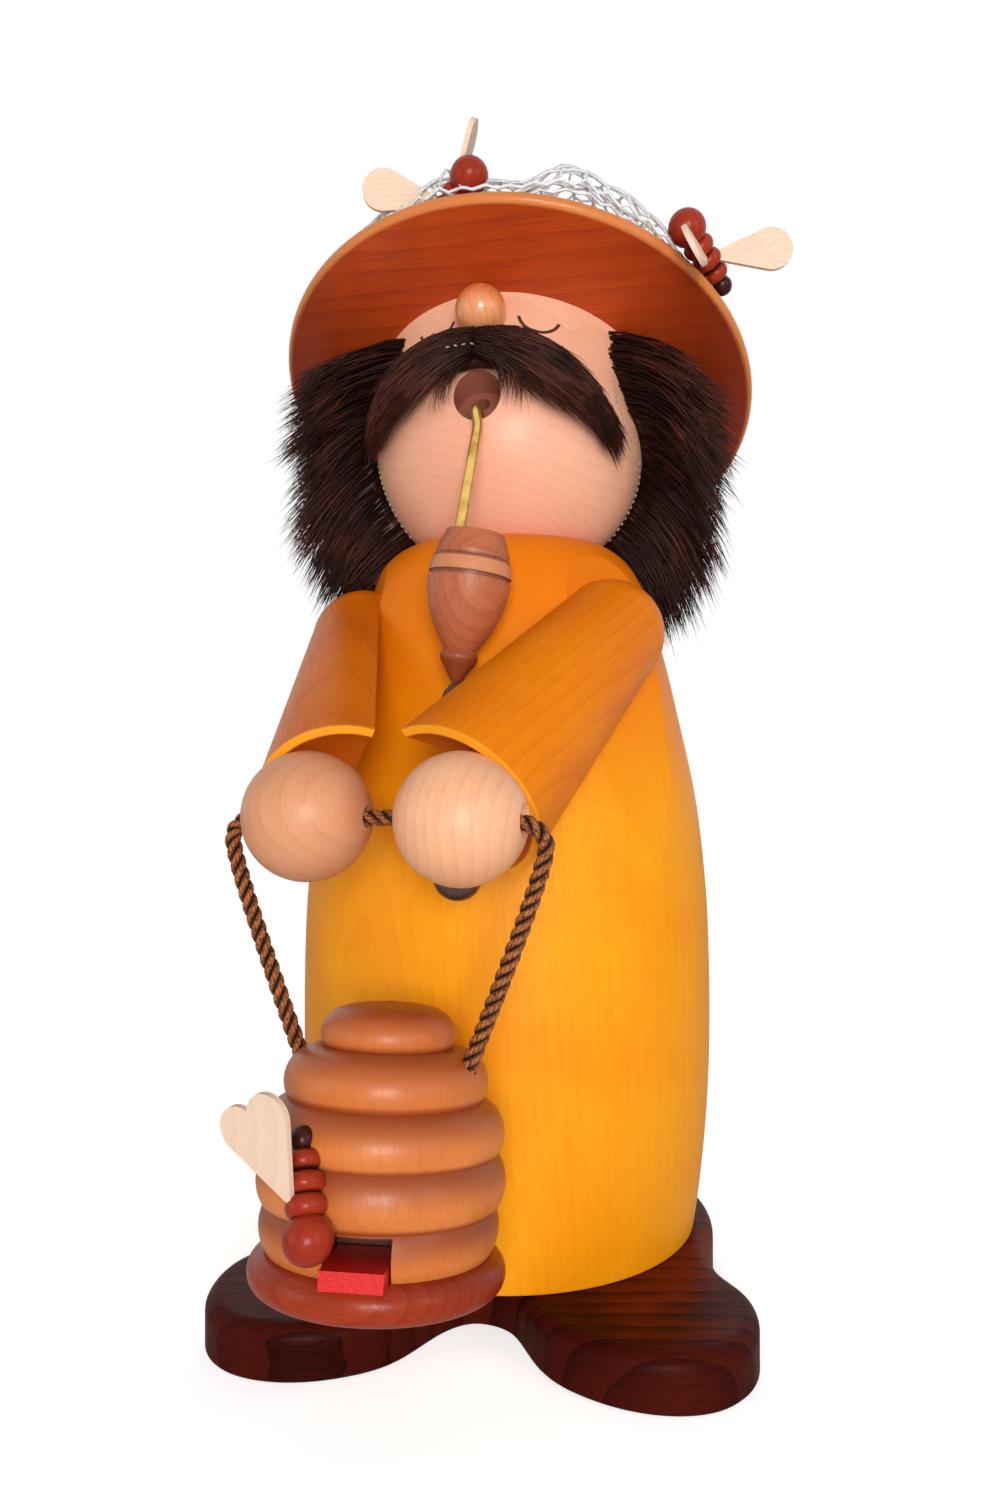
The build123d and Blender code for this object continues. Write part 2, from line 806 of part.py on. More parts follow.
moustache_angle_shares = (-1.0, -0.62, -0.25, 0.0, 0.25, 0.62, 1.0)
moustache_size_shares = (0.3, 0.78, 1.0, 0.92, 1.0, 0.78, 0.3)
moustache_drop_shares = (1.0, 0.42, 0.06, 0.0, 0.06, 0.42, 1.0)

with BuildPart() as moustache:
    for across, size, drop in zip(moustache_angle_shares, moustache_size_shares, moustache_drop_shares):
        station_drop = moustache_drop + (moustache_tip_drop - moustache_drop) * drop
        station_out = face_out.rotate(head_axis, across * moustache_tip_angle)
        half_depth = moustache_depth * size / 2
        station = head_centre - head_up * station_drop + station_out * (head_radius + half_depth)
        with BuildSketch(Plane(origin=station, x_dir=station_out, z_dir=head_up.cross(station_out))):
            Ellipse(half_depth, moustache_half_thickness * size)
    loft()
    with Locations(nose_centre):
        Sphere(nose_radius + soft_gap, mode=Mode.SUBTRACT)
    with Locations(head_centre):
        Sphere(hair_inner_radius, mode=Mode.SUBTRACT)
    with BuildSketch(head_side):
        with BuildLine():
            lip_brow = TangentArc(
                (hair_inner_radius, 0), (head_top_radius + soft_gap, head_top_height), tangent=(0, 1)
            )
            Polyline(lip_brow @ 1, (0, head_top_height), (0, 0), lip_brow @ 0)
        make_face()
    revolve(axis=head_axis, mode=Mode.SUBTRACT)
finish(moustache, "moustache")

# Sleeves: half-round turned cones, dished at the cuff, flat side on the coat

sleeve_axis = Axis(origin=shoulder, direction=arm_down)
cuff_inner_radius = sleeve_cuff_radius - cuff_rim
hand_dowel_plane = Plane(origin=hand_centre, z_dir=arm_down).offset(hand_dowel_in_hand - hand_radius)
dome_shares = ((-1.0, 0.0), (-0.82, 0.55), (-0.3, 0.92), (0.4, 1.05))
dish_middle_share = 0.75

with BuildPart() as sleeve_left:
    with BuildSketch(Plane(origin=shoulder, x_dir=arm_down, z_dir=flat_out)):
        with BuildLine():
            dome = Spline(*[(x * sleeve_dome_height, r * sleeve_shoulder_radius) for x, r in dome_shares])
            Polyline(
                dome @ 1,
                (sleeve_length, sleeve_cuff_radius),
                (sleeve_length, cuff_inner_radius),
            )
            ThreePointArc(
                (sleeve_length, cuff_inner_radius),
                (sleeve_length - cuff_dish_depth * dish_middle_share, cuff_inner_radius / 2),
                (sleeve_length - cuff_dish_depth, 0),
            )
            Line((sleeve_length - cuff_dish_depth, 0), dome @ 0)
        make_face()
    revolve(axis=sleeve_axis, revolution_arc=180)
    with BuildSketch(shoulder_dowel_plane):
        Circle(shoulder_dowel_radius + glue_gap)
    extrude(amount=shoulder_dowel_in_sleeve + glue_gap, mode=Mode.SUBTRACT)
    with Locations(hand_centre):
        Sphere(hand_radius + glue_gap, mode=Mode.SUBTRACT)
    with BuildSketch(hand_dowel_plane):
        Circle(hand_dowel_radius + glue_gap)
    extrude(amount=-(hand_dowel_length + glue_gap), mode=Mode.SUBTRACT)

with BuildPart() as sleeve_right:
    add(mirror(sleeve_left.part, about=Plane.YZ, mode=Mode.PRIVATE))

finish(sleeve_left, "sleeve_left")
finish(sleeve_right, "sleeve_right")

# Shoulder dowels: from the flat on the coat into the sleeve

with BuildPart() as shoulder_dowel_left:
    with BuildSketch(shoulder_dowel_plane.offset(-shoulder_dowel_in_coat)):
        Circle(shoulder_dowel_radius)
    extrude(amount=shoulder_dowel_in_coat + shoulder_dowel_in_sleeve)

with BuildPart() as shoulder_dowel_right:
    add(mirror(shoulder_dowel_left.part, about=Plane.YZ, mode=Mode.PRIVATE))

finish(shoulder_dowel_left, "shoulder_dowel_left")
finish(shoulder_dowel_right, "shoulder_dowel_right")

# Hands: balls bored across for the rope, the bore flared at its outer end

rope_hole_radius = rope_radius + rope_hole_gap

with BuildPart() as hand_left:
    with BuildSketch(Plane(origin=hand_centre, x_dir=(1, 0, 0), z_dir=(0, -1, 0))):
        Circle(hand_radius)
        with Locations((0, rope_hole_radius)):
            Rectangle(
                hand_radius * 2,
                hand_radius + rope_hole_radius,
                align=(Align.CENTER, Align.MAX),
                mode=Mode.SUBTRACT,
            )
        with BuildLine():
            Polyline(
                (hand_radius - rope_flare * 3, rope_hole_radius - glue_gap),
                (hand_radius, rope_hole_radius + rope_flare * 2),
                (hand_radius, rope_hole_radius - glue_gap),
                close=True,
            )
        make_face(mode=Mode.SUBTRACT)
    revolve(axis=Axis(origin=hand_centre, direction=(1, 0, 0)))
    with BuildSketch(hand_dowel_plane):
        Circle(hand_dowel_radius + glue_gap)
    extrude(amount=-(hand_dowel_in_hand + cut_over), mode=Mode.SUBTRACT)

with BuildPart() as hand_right:
    add(mirror(hand_left.part, about=Plane.YZ, mode=Mode.PRIVATE))

finish(hand_left, "hand_left")
finish(hand_right, "hand_right")

# Hand dowels: from the bottom of the cuff's dish into the ball

with BuildPart() as hand_dowel_left:
    with BuildSketch(hand_dowel_plane):
        Circle(hand_dowel_radius)
    extrude(amount=-hand_dowel_length)

with BuildPart() as hand_dowel_right:
    add(mirror(hand_dowel_left.part, about=Plane.YZ, mode=Mode.PRIVATE))

finish(hand_dowel_left, "hand_dowel_left")
finish(hand_dowel_right, "hand_dowel_right")

# Pipe: a bent brass stem pushed into the mouth, and a turned bowl

stem_start = stem_hole_centre - face_out * (mouth_depth + stem_hole_depth - glue_gap)
stem_corner = stem_hole_centre + face_out * stem_lip
stem_elbow = stem_hole_centre + Vector(stem_elbow_side, -stem_elbow_reach, -stem_elbow_drop)
stem_rim = Vector(
    stem_elbow.X - stem_foot_side,
    stem_foot_inset - coat_radius,
    stem_elbow.Z - stem_foot_drop,
)
stem_run = (stem_rim - stem_elbow).normalized()
stem_foot = stem_rim + stem_run * stem_in_bowl
bowl_top = stem_rim + Vector(bowl_top_side, -bowl_top_reach, -bowl_top_drop)
bowl_tip = bowl_top + Vector(-bowl_tip_side, -bowl_tip_reach, -bowl_tip_drop)
bowl_down = (bowl_tip - bowl_top).normalized()
bowl_length = (bowl_tip - bowl_top).length

with BuildPart() as pipe_stem:
    with BuildLine():
        FilletPolyline(
            stem_start,
            stem_corner,
            stem_elbow,
            stem_foot,
            radius=[stem_bend_radius, stem_elbow_radius],
        )
    with BuildSketch(Plane(origin=stem_start, x_dir=head_left, z_dir=face_out)):
        Circle(stem_radius)
        Circle(stem_bore_radius, mode=Mode.SUBTRACT)
    sweep()
finish(pipe_stem, "pipe_stem")

bowl_side_shares = (
    (0.70, 0.0),
    (0.90, 0.15),
    (1.0, 0.29),
    (0.96, 0.425),
    (0.815, 0.565),
    (0.60, 0.685),
    (0.38, 0.775),
)
bowl_knob_shares = ((0.455, 0.83), (0.30, 0.90), (0.14, 0.97), (0.0, 1.0))
bowl_groove_shares = ((0.875, 0.155), (0.955, 0.30))
bowl_points = [(r * bowl_radius, h * bowl_length) for r, h in bowl_side_shares]
knob_points = [(r * bowl_radius, h * bowl_length) for r, h in bowl_knob_shares]
bowl_across = bowl_down.cross(Vector(0, 1, 0)).normalized()

with BuildPart() as pipe_bowl:
    with BuildSketch(Plane(origin=bowl_top, x_dir=bowl_across, z_dir=bowl_across.cross(bowl_down))):
        with BuildLine():
            belly = Spline(*bowl_points)
            knob = Spline(belly @ 1, knob_points[0], knob_points[1], knob_points[2], knob_points[3])
            Polyline(knob @ 1, (0, 0), belly @ 0)
        make_face()
        for r, h in bowl_groove_shares:
            with Locations((r * bowl_radius + bowl_groove_depth, h * bowl_length)):
                Rectangle(bowl_groove_depth * 2, bowl_groove_width, mode=Mode.SUBTRACT)
    revolve(axis=Axis(origin=bowl_top, direction=bowl_down))
    with BuildSketch(Plane(origin=stem_foot, z_dir=stem_run)):
        Circle(stem_radius + glue_gap)
    extrude(amount=-(stem_in_bowl + bowl_radius), mode=Mode.SUBTRACT)
finish(pipe_bowl, "pipe_bowl")

# Hive: a turned skep in ribs, on a round plate, hanging a little nose-up

hinge_front = -hand_centre.Y
hinge_height = hand_centre.Z
lean = math.radians(hive_lean)
hive_up = Vector(0, math.sin(lean), math.cos(lean))
hive_centre = Vector(0, -hinge_front, hinge_height - hive_drop)
hive_foot = hive_centre - hive_up * hive_body_under
hive_level = Plane(origin=hive_foot, x_dir=(1, 0, 0), z_dir=hive_up)
hive_side = Plane(origin=hive_foot, x_dir=(1, 0, 0), z_dir=Vector(1, 0, 0).cross(hive_up))
hive_axis = Axis(origin=hive_foot, direction=hive_up)
door_across = Vector(1, 0, 0).rotate(hive_axis, door_turn)
hive_door_level = Plane(origin=hive_foot, x_dir=door_across, z_dir=hive_up)

rib_shares = (
    ((0.892, 0.0), (0.955, 0.085), (0.928, 0.175)),
    ((0.928, 0.175), (1.0, 0.283), (0.928, 0.391)),
    ((0.928, 0.391), (0.972, 0.50), (0.795, 0.606)),
    ((0.795, 0.606), (0.815, 0.715), (0.52, 0.8125)),
)
knob_shares = ((0.52, 0.8125), (0.555, 0.875), (0.487, 0.94), (0.29, 0.982), (0.0, 1.0))


def hive_point(point_share):
    return (point_share[0] * hive_rib_radius, point_share[1] * hive_body_height)


with BuildPart() as hive_body:
    with BuildSketch(hive_side):
        with BuildLine():
            for rib_start, rib_middle, rib_end in rib_shares:
                ThreePointArc(hive_point(rib_start), hive_point(rib_middle), hive_point(rib_end))
            Spline(*[hive_point(point_share) for point_share in knob_shares])
            Polyline(hive_point(knob_shares[-1]), (0, 0), hive_point(rib_shares[0][0]))
        make_face()
    revolve(axis=hive_axis)
    with BuildSketch(hive_door_level):
        with Locations((0, -hive_rib_radius)):
            Rectangle(door_width, door_depth * 2)
    extrude(amount=door_height, mode=Mode.SUBTRACT)
    with BuildSketch(hive_level):
        Circle(hive_dowel_radius + glue_gap)
    extrude(amount=hive_dowel_in_body + glue_gap, mode=Mode.SUBTRACT)

# Hive plate: a round board with a full-round edge

with BuildPart() as hive_plate:
    with BuildSketch(hive_level):
        Circle(plate_radius)
    extrude(amount=-plate_thickness)
    fillet(hive_plate.edges().filter_by(GeomType.CIRCLE), radius=plate_rounding)
    with BuildSketch(hive_level):
        Circle(hive_dowel_radius + glue_gap)
    extrude(amount=-(hive_dowel_in_plate + glue_gap), mode=Mode.SUBTRACT)
finish(hive_plate, "hive_plate")

with BuildPart() as hive_dowel:
    with BuildSketch(hive_level.offset(-hive_dowel_in_plate)):
        Circle(hive_dowel_radius)
    extrude(amount=hive_dowel_in_plate + hive_dowel_in_body)
finish(hive_dowel, "hive_dowel")

# Landing board: a red block glued on the plate, half inside the doorway

board_length = board_outer_radius - board_inner_radius

with BuildPart() as landing_board:
    with BuildSketch(hive_door_level):
        with Locations((0, -board_inner_radius - board_length / 2)):
            Rectangle(board_width, board_length)
    extrude(amount=board_height)
finish(landing_board, "landing_board")

# Rope: one cord through both hands; each end hangs down and is glued into the hive

fall_start = hand_centre.X + hand_radius - rope_inside_hand
fall_side = hand_centre.X + hand_radius + rope_past_hand
rope_foot_drop = hive_drop - rope_foot_above_hive
fall_points = [
    Vector(fall_start, -hinge_front, hinge_height),
    Vector(fall_side, -hinge_front, hinge_height),
    Vector(rope_knee_side, -hinge_front, hinge_height - rope_knee_drop),
    Vector(rope_foot_side, -hinge_front, hinge_height - rope_foot_drop),
]


cord_bend_share = 0.45


def corner_radii(points):
    """Largest arcs that a cord's runs allow, one for each corner."""
    radii = []
    for before, corner, after in zip(points, points[1:], points[2:]):
        half_turn = math.radians((corner - before).get_angle(after - corner) / 2)
        shorter = min((corner - before).length, (after - corner).length)
        radii.append(cord_bend_share * shorter / math.tan(half_turn))
    return radii


fall_radii = corner_radii(fall_points)
print("rope fall radii", [round(radius, 1) for radius in fall_radii])
fall_run = (fall_points[-1] - fall_points[-2]).normalized()

with BuildPart() as rope_left_fall:
    with BuildLine() as fall_path:
        FilletPolyline(*fall_points, radius=fall_radii)
    with BuildSketch(Plane(origin=fall_points[0], z_dir=(1, 0, 0))):
        Circle(rope_radius)
    sweep()
fall_volume = math.pi * rope_radius**2 * fall_path.wires()[0].length
print("rope fall", round(rope_left_fall.part.volume), "mm3 against", round(fall_volume))

with BuildPart() as rope_right_fall:
    add(mirror(rope_left_fall.part, about=Plane.YZ, mode=Mode.PRIVATE))

finish(rope_left_fall, "rope_left_fall")
finish(rope_right_fall, "rope_right_fall")

with BuildPart() as rope_middle:
    with BuildSketch(Plane(origin=(0, -hinge_front, hinge_height), z_dir=(1, 0, 0))):
        Circle(rope_radius)
    extrude(amount=fall_start, both=True)
finish(rope_middle, "rope_middle")

# The hive's two rope holes follow the last run of the rope

with hive_body:
    for rope_side in (1, -1):
        hole_foot = Vector(fall_points[-1].X * rope_side, fall_points[-1].Y, fall_points[-1].Z)
        hole_run = Vector(-fall_run.X * rope_side, -fall_run.Y, -fall_run.Z)
        with BuildSketch(Plane(origin=hole_foot, z_dir=hole_run)):
            Circle(rope_radius + glue_gap)
        extrude(amount=rope_in_hive * 2, mode=Mode.SUBTRACT)
finish(hive_body, "hive_body")

# Bee on the hive, flattened where it is glued on, with one heart-shaped pair of wings

hive_bee_out = hive_rib_radius + hive_bee_off_rib
hive_bee_centre = hive_level.from_local_coords(Vector(-hive_bee_side, -hive_bee_out, hive_bee_rise))
hive_bee_tail = aimed(hive_bee_heading, hive_bee_climb)
heart_tip = hive_bee_centre + Vector(-heart_tip_side, heart_tip_back, heart_tip_rise)
heart_face = aimed(heart_swing - 90, -heart_lean)
heart_across = Vector(0, 0, 1).cross(heart_face).normalized()
heart_along = heart_face.cross(heart_across).rotate(Axis(origin=heart_tip, direction=heart_face), heart_roll)
heart_plane = Plane(origin=heart_tip, x_dir=heart_along.cross(heart_face), z_dir=heart_face)

with BuildPart() as hive_bee_wings:
    with BuildSketch(heart_plane):
        heart_point = Circle(heart_tip_radius, mode=Mode.PRIVATE)
        for lobe_side in (1, -1):
            lobe = Circle(heart_lobe_radius, mode=Mode.PRIVATE).moved(
                Location((heart_lobe_side * lobe_side, heart_lobe_height))
            )
            make_hull(edges=[*lobe.edges(), *heart_point.edges()])
    extrude(amount=heart_thickness / 2, both=True)
finish(hive_bee_wings, "hive_bee_wings")

with BuildPart() as hive_bee_body:
    add(bee_body(hive_bee_centre, hive_bee_tail))
    add(hive_body.part, mode=Mode.SUBTRACT)
    add(hive_bee_wings.part, mode=Mode.SUBTRACT)
finish(hive_bee_body, "hive_bee_body")
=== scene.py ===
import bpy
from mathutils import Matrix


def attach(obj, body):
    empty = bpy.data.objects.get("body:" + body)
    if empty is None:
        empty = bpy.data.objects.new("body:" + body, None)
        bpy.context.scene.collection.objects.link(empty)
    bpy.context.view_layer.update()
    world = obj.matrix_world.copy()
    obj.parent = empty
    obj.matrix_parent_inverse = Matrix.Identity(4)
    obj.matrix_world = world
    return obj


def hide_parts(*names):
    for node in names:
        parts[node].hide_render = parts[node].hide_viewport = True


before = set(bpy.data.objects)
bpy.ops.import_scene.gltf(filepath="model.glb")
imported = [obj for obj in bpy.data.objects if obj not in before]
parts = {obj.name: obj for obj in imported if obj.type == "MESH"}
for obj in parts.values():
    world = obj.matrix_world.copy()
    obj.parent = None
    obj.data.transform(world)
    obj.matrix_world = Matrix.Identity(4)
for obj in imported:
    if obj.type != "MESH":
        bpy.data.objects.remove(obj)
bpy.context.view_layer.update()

import math

import bpy
import numpy as np
from mathutils import Matrix, Vector

mm = 0.001

# Camera: it looks level, from a little above the hands and 17.5 degrees round to the figure's left.
# It was fitted to the rows of the base and the coat and to the round brim of the photograph.
photo_height = 1500
photo_focal = 1130
photo_turn = math.radians(17.5)
camera_lens = bpy.data.cameras.new("photo_camera")
camera_lens.sensor_fit = "VERTICAL"
camera_lens.sensor_height = 36.0
camera_lens.lens = camera_lens.sensor_height * photo_focal / photo_height
camera_lens.clip_start = 0.01
camera = bpy.data.objects.new("photo_camera", camera_lens)
bpy.context.scene.collection.objects.link(camera)
camera.location = (0.1513, -0.4902, 0.228)
camera.rotation_euler = (math.radians(90), 0, photo_turn)
bpy.context.scene.camera = camera

# Rope: one brown cord of three twisted strands. It runs straight through both balls of the hands,
# and each end turns down beside its hand and is glued into a hole in the hive's shoulder.
strand_radius = 1.42 * mm
strand_off_middle = 1.55 * mm
rope_pitch = 14.4 * mm
rope_front = -141.07 * mm
rope_level = 205.36 * mm
fall_points = [
    (41.43 * mm, rope_front, rope_level),
    (56.73 * mm, rope_front, rope_level),
    (56.6 * mm, rope_front, 188.36 * mm),
    (26.5 * mm, rope_front, 114.36 * mm),
]
rope_routes = {
    "rope_left_fall": fall_points,
    "rope_right_fall": [(-x, y, z) for x, y, z in fall_points],
    "rope_middle": [
        (-41.43 * mm, rope_front, rope_level),
        (0.0, rope_front, rope_level),
        (41.43 * mm, rope_front, rope_level),
    ],
}


def node(tree, kind, settings=None, feeds=None):
    """A shader node with its settings, and each input either set or fed from another socket."""
    made = tree.nodes.new(kind)
    for word, value in (settings or {}).items():
        setattr(made, word, value)
    for place, value in (feeds or {}).items():
        if isinstance(value, bpy.types.NodeSocket):
            tree.links.new(value, made.inputs[place])
        else:
            made.inputs[place].default_value = value
    return made


def linked(kind, settings, feeds):
    """Outputs of a node made in the tree that its first fed socket belongs to."""
    tree = next(value.id_data for value in feeds.values() if isinstance(value, bpy.types.NodeSocket))
    return node(tree, kind, settings, feeds).outputs


def sums(operation, first, second=0.0, third=0.0):
    """Result of a math node."""
    return linked("ShaderNodeMath", {"operation": operation}, {0: first, 1: second, 2: third})[0]


def times(first, second):
    """Product of two values."""
    return sums("MULTIPLY", first, second)


def vectors(operation, first, second=(0.0, 0.0, 0.0)):
    """Both results of a vector math node: the vector and the number."""
    return linked("ShaderNodeVectorMath", {"operation": operation}, {0: first, 1: second})


def noise(place, scale, detail):
    """Cloudy value between 0 and 1."""
    return linked("ShaderNodeTexNoise", None, {"Vector": place, "Scale": scale, "Detail": detail})[0]


def split(place):
    """X, Y and Z of a vector."""
    return linked("ShaderNodeSeparateXYZ", None, {0: place})


def object_place(tree):
    """Each point's place in the piece's own frame."""
    return node(tree, "ShaderNodeTexCoord").outputs["Object"]


def feed(socket, shader, word):
    """Links a socket to an input of a shader."""
    shader.id_data.links.new(socket, shader.inputs[word])


def add_bump(shader, height, distance, strength):
    """Fine relief on the surface."""
    feeds = {"Height": height, "Distance": distance, "Strength": strength}
    feed(linked("ShaderNodeBump", None, feeds)[0], shader, "Normal")


def stain(share, first, second):
    """Colour between two given colours; it blends stains and painted light and shade alike."""
    feeds = {0: share}
    for place, colour in ((6, first), (7, second)):
        feeds[place] = colour if isinstance(colour, bpy.types.NodeSocket) else (*colour, 1.0)
    return linked("ShaderNodeMix", {"data_type": "RGBA"}, feeds)[2]


def fade(value, low, high):
    """0 below low and 1 above high, or the other way round where low is the larger."""
    feeds = {0: value, 1: low, 2: high}
    return linked("ShaderNodeMapRange", {"interpolation_type": "SMOOTHSTEP"}, feeds)[0]


def settle(shader, **values):
    """Sets the inputs of a shader. An input's name is written with low dashes for its spaces."""
    for word, value in values.items():
        shader.inputs[word.replace("_", " ")].default_value = value


def new_finish(name, **values):
    """Material with its node tree and its main shader."""
    finish = bpy.data.materials.new(name)
    finish.use_nodes = True
    tree = finish.node_tree
    shader = tree.nodes["Principled BSDF"]
    settle(shader, **values)
    return finish, tree, shader


def new_piece(name, data):
    """Object linked into the scene."""
    made = bpy.data.objects.new(name, data)
    bpy.context.scene.collection.objects.link(made)
    return made


def mesh_piece(name, places, faces, finish, layer=None, lay=None):
    """Smooth piece from places and faces, with its finish and a UV layer."""
    mesh = bpy.data.meshes.new(name)
    mesh.from_pydata([tuple(place) for place in places], [], faces)
    if layer:
        mesh.uv_layers.new(name=layer)
    if lay:
        mesh.uv_layers[layer].data.foreach_set("uv", np.array(lay, np.float32).ravel())
    mesh.materials.append(finish)
    mesh.shade_smooth()
    return new_piece(name, mesh)


def choose(piece):
    """Makes an object the only selected and the active one."""
    bpy.ops.object.select_all(action="DESELECT")
    piece.select_set(True)
    bpy.context.view_layer.objects.active = piece


def rope_centreline(name, points):
    """Points of the bare spline that the rope follows."""
    curve = bpy.data.curves.new(name + "_line", "CURVE")
    curve.dimensions = "3D"
    curve.resolution_u = 40
    spline = curve.splines.new("NURBS")
    spline.points.add(len(points) - 1)
    for place, point in zip(spline.points, points):
        place.co = (*point, 1.0)
    spline.order_u = 3
    spline.use_endpoint_u = True
    holder = new_piece(name + "_line", curve)
    bpy.context.view_layer.update()
    line = bpy.data.meshes.new_from_object(holder)
    found = np.array([vertex.co[:] for vertex in line.vertices])
    bpy.data.objects.remove(holder)
    bpy.data.meshes.remove(line)
    return found


def twist(name, line, finish):
    """Three strands wound round the centreline, each a closed tube with the threads' lay in its UV map."""
    runs = np.r_[0, np.cumsum(np.linalg.norm(np.diff(line, axis=0), axis=1))]
    steps = np.linspace(0, runs[-1], max(24, int(runs[-1] / (0.75 * mm))))
    middle = np.c_[[np.interp(steps, runs, line[:, k]) for k in range(3)]].T
    ahead = np.gradient(middle, axis=0)
    ahead /= np.linalg.norm(ahead, axis=1)[:, None]
    beside = np.cross(ahead, (0.0, 1.0, 0.0))
    beside /= np.linalg.norm(beside, axis=1)[:, None]
    above = np.cross(ahead, beside)
    sides = 10
    around = np.linspace(0, 2 * math.pi, sides, endpoint=False)
    places, faces, lay = [], [], []
    for start in (0.0, 2 * math.pi / 3, 4 * math.pi / 3):
        angle = (start + 2 * math.pi * steps / rope_pitch)[:, None]
        off = beside * np.cos(angle) + above * np.sin(angle)
        core = middle + off * strand_off_middle
        run = np.gradient(core, axis=0)
        run /= np.linalg.norm(run, axis=1)[:, None]
        out = off - run * (off * run).sum(1)[:, None]
        out /= np.linalg.norm(out, axis=1)[:, None]
        over = np.cross(run, out)
        first = len(places)
        for index in range(len(steps)):
            for turn in around:
                spoke = out[index] * math.cos(turn) + over[index] * math.sin(turn)
                places.append(core[index] + strand_radius * spoke)
        for index in range(len(steps) - 1):
            for k in range(sides):
                low = first + index * sides
                after = (k + 1) % sides
                faces.append((low + k, low + after, low + sides + after, low + sides + k))
                near, far = steps[index] * 100, steps[index + 1] * 100
                left, right = k / sides, (k + 1) / sides
                lay += [(left, near), (right, near), (right, far), (left, far)]
        faces.append(tuple(first + k for k in reversed(range(sides))))
        last = first + (len(steps) - 1) * sides
        faces.append(tuple(last + k for k in range(sides)))
        lay += [(0.5, 0.0)] * (2 * sides)
    return mesh_piece(name, places, faces, finish, "lay", lay), middle


cord_yarn, tree, shader = new_finish("brown_cord_yarn", Roughness=0.62, Specular_IOR_Level=0.2)
lay_map = node(tree, "ShaderNodeUVMap", {"uv_map": "lay"}).outputs[0]
strand_side, strand_run, _ = split(lay_map)
slant = sums("MULTIPLY_ADD", strand_run, 9.0, times(strand_side, 5.0))
thread = sums("PINGPONG", slant, 0.5)
thread = fade(thread, 0.02, 0.30)
fluff = noise(object_place(tree), 900.0, 3.0)
# Painted shade: the inner side of each strand, where it lies against the others, is darker; the threads
# and the fluff vary the yarn's own tone.
outer = sums("ABSOLUTE", sums("SUBTRACT", strand_side, 0.5))
yarn_and_crevice_shade = times(sums("MULTIPLY_ADD", thread, 0.4, 0.6), fade(fluff, 0.25, 0.60))
yarn_and_crevice_shade = times(yarn_and_crevice_shade, fade(outer, 0.24, 0.47))
cord_tone = stain(yarn_and_crevice_shade, (0.022, 0.006, 0.003), (0.46, 0.150, 0.042))
feed(cord_tone, shader, "Base Color")
cord_height = sums("ADD", thread, times(fluff, 0.5))
add_bump(shader, cord_height, 0.0004, 0.7)

rope_facts = {
    "rope_left_fall": ((0.0504, rope_front, rope_level), "hive", "hanging"),
    "rope_right_fall": ((-0.0504, rope_front, rope_level), "hive", "hanging"),
    "rope_middle": ((-0.0414, rope_front, rope_level), "figure", "taut"),
}
for rope_name, route in rope_routes.items():
    rope_exit, rope_body, rope_lay = rope_facts[rope_name]
    rope, rope_line = twist("cord_" + rope_name[5:], rope_centreline(rope_name, route), cord_yarn)
    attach(rope, rope_body)
    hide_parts(rope_name)

# Wood: one group of nodes that every wooden piece shares. It gives the year rings round the pith,
# the fibres drawn out along the grain, and slow clouds in the stain.
wood_figure = bpy.data.node_groups.new("wood_figure", "ShaderNodeTree")
wood_figure.interface.new_socket(name="Vector", in_out="INPUT", socket_type="NodeSocketVector")
for word in ("Ring Spacing", "Waviness", "Fibre Spacing"):
    wood_figure.interface.new_socket(name=word, in_out="INPUT", socket_type="NodeSocketFloat")
for word in ("Rings", "Fibre", "Clouds"):
    wood_figure.interface.new_socket(name=word, in_out="OUTPUT", socket_type="NodeSocketFloat")
given = node(wood_figure, "NodeGroupInput").outputs
log_x, log_y, log_z = split(given["Vector"])
slow = times(log_z, 0.16)
log_place = node(wood_figure, "ShaderNodeCombineXYZ", None, {0: log_x, 1: log_y, 2: slow}).outputs[0]
log_radius = vectors("LENGTH", log_place)[1]
wander = noise(log_place, 26.0, 2.0)
wander = times(sums("SUBTRACT", wander, 0.5), given["Waviness"])
log_radius = sums("ADD", log_radius, wander)
ring_count = sums("DIVIDE", log_radius, given["Ring Spacing"])
ring_line = sums("POWER", sums("FRACT", ring_count), 2.4)
drawn_out = vectors("MULTIPLY", given["Vector"], (1.0, 1.0, 0.035))[0]
fibre = noise(drawn_out, sums("DIVIDE", 1.0, given["Fibre Spacing"]), 3.0)
clouds = noise(given["Vector"], 22.0, 2.0)
fibre = fade(fibre, 0.36, 0.66)
clouds = fade(clouds, 0.3, 0.7)
node(wood_figure, "NodeGroupOutput", None, {"Rings": ring_line, "Fibre": fibre, "Clouds": clouds})


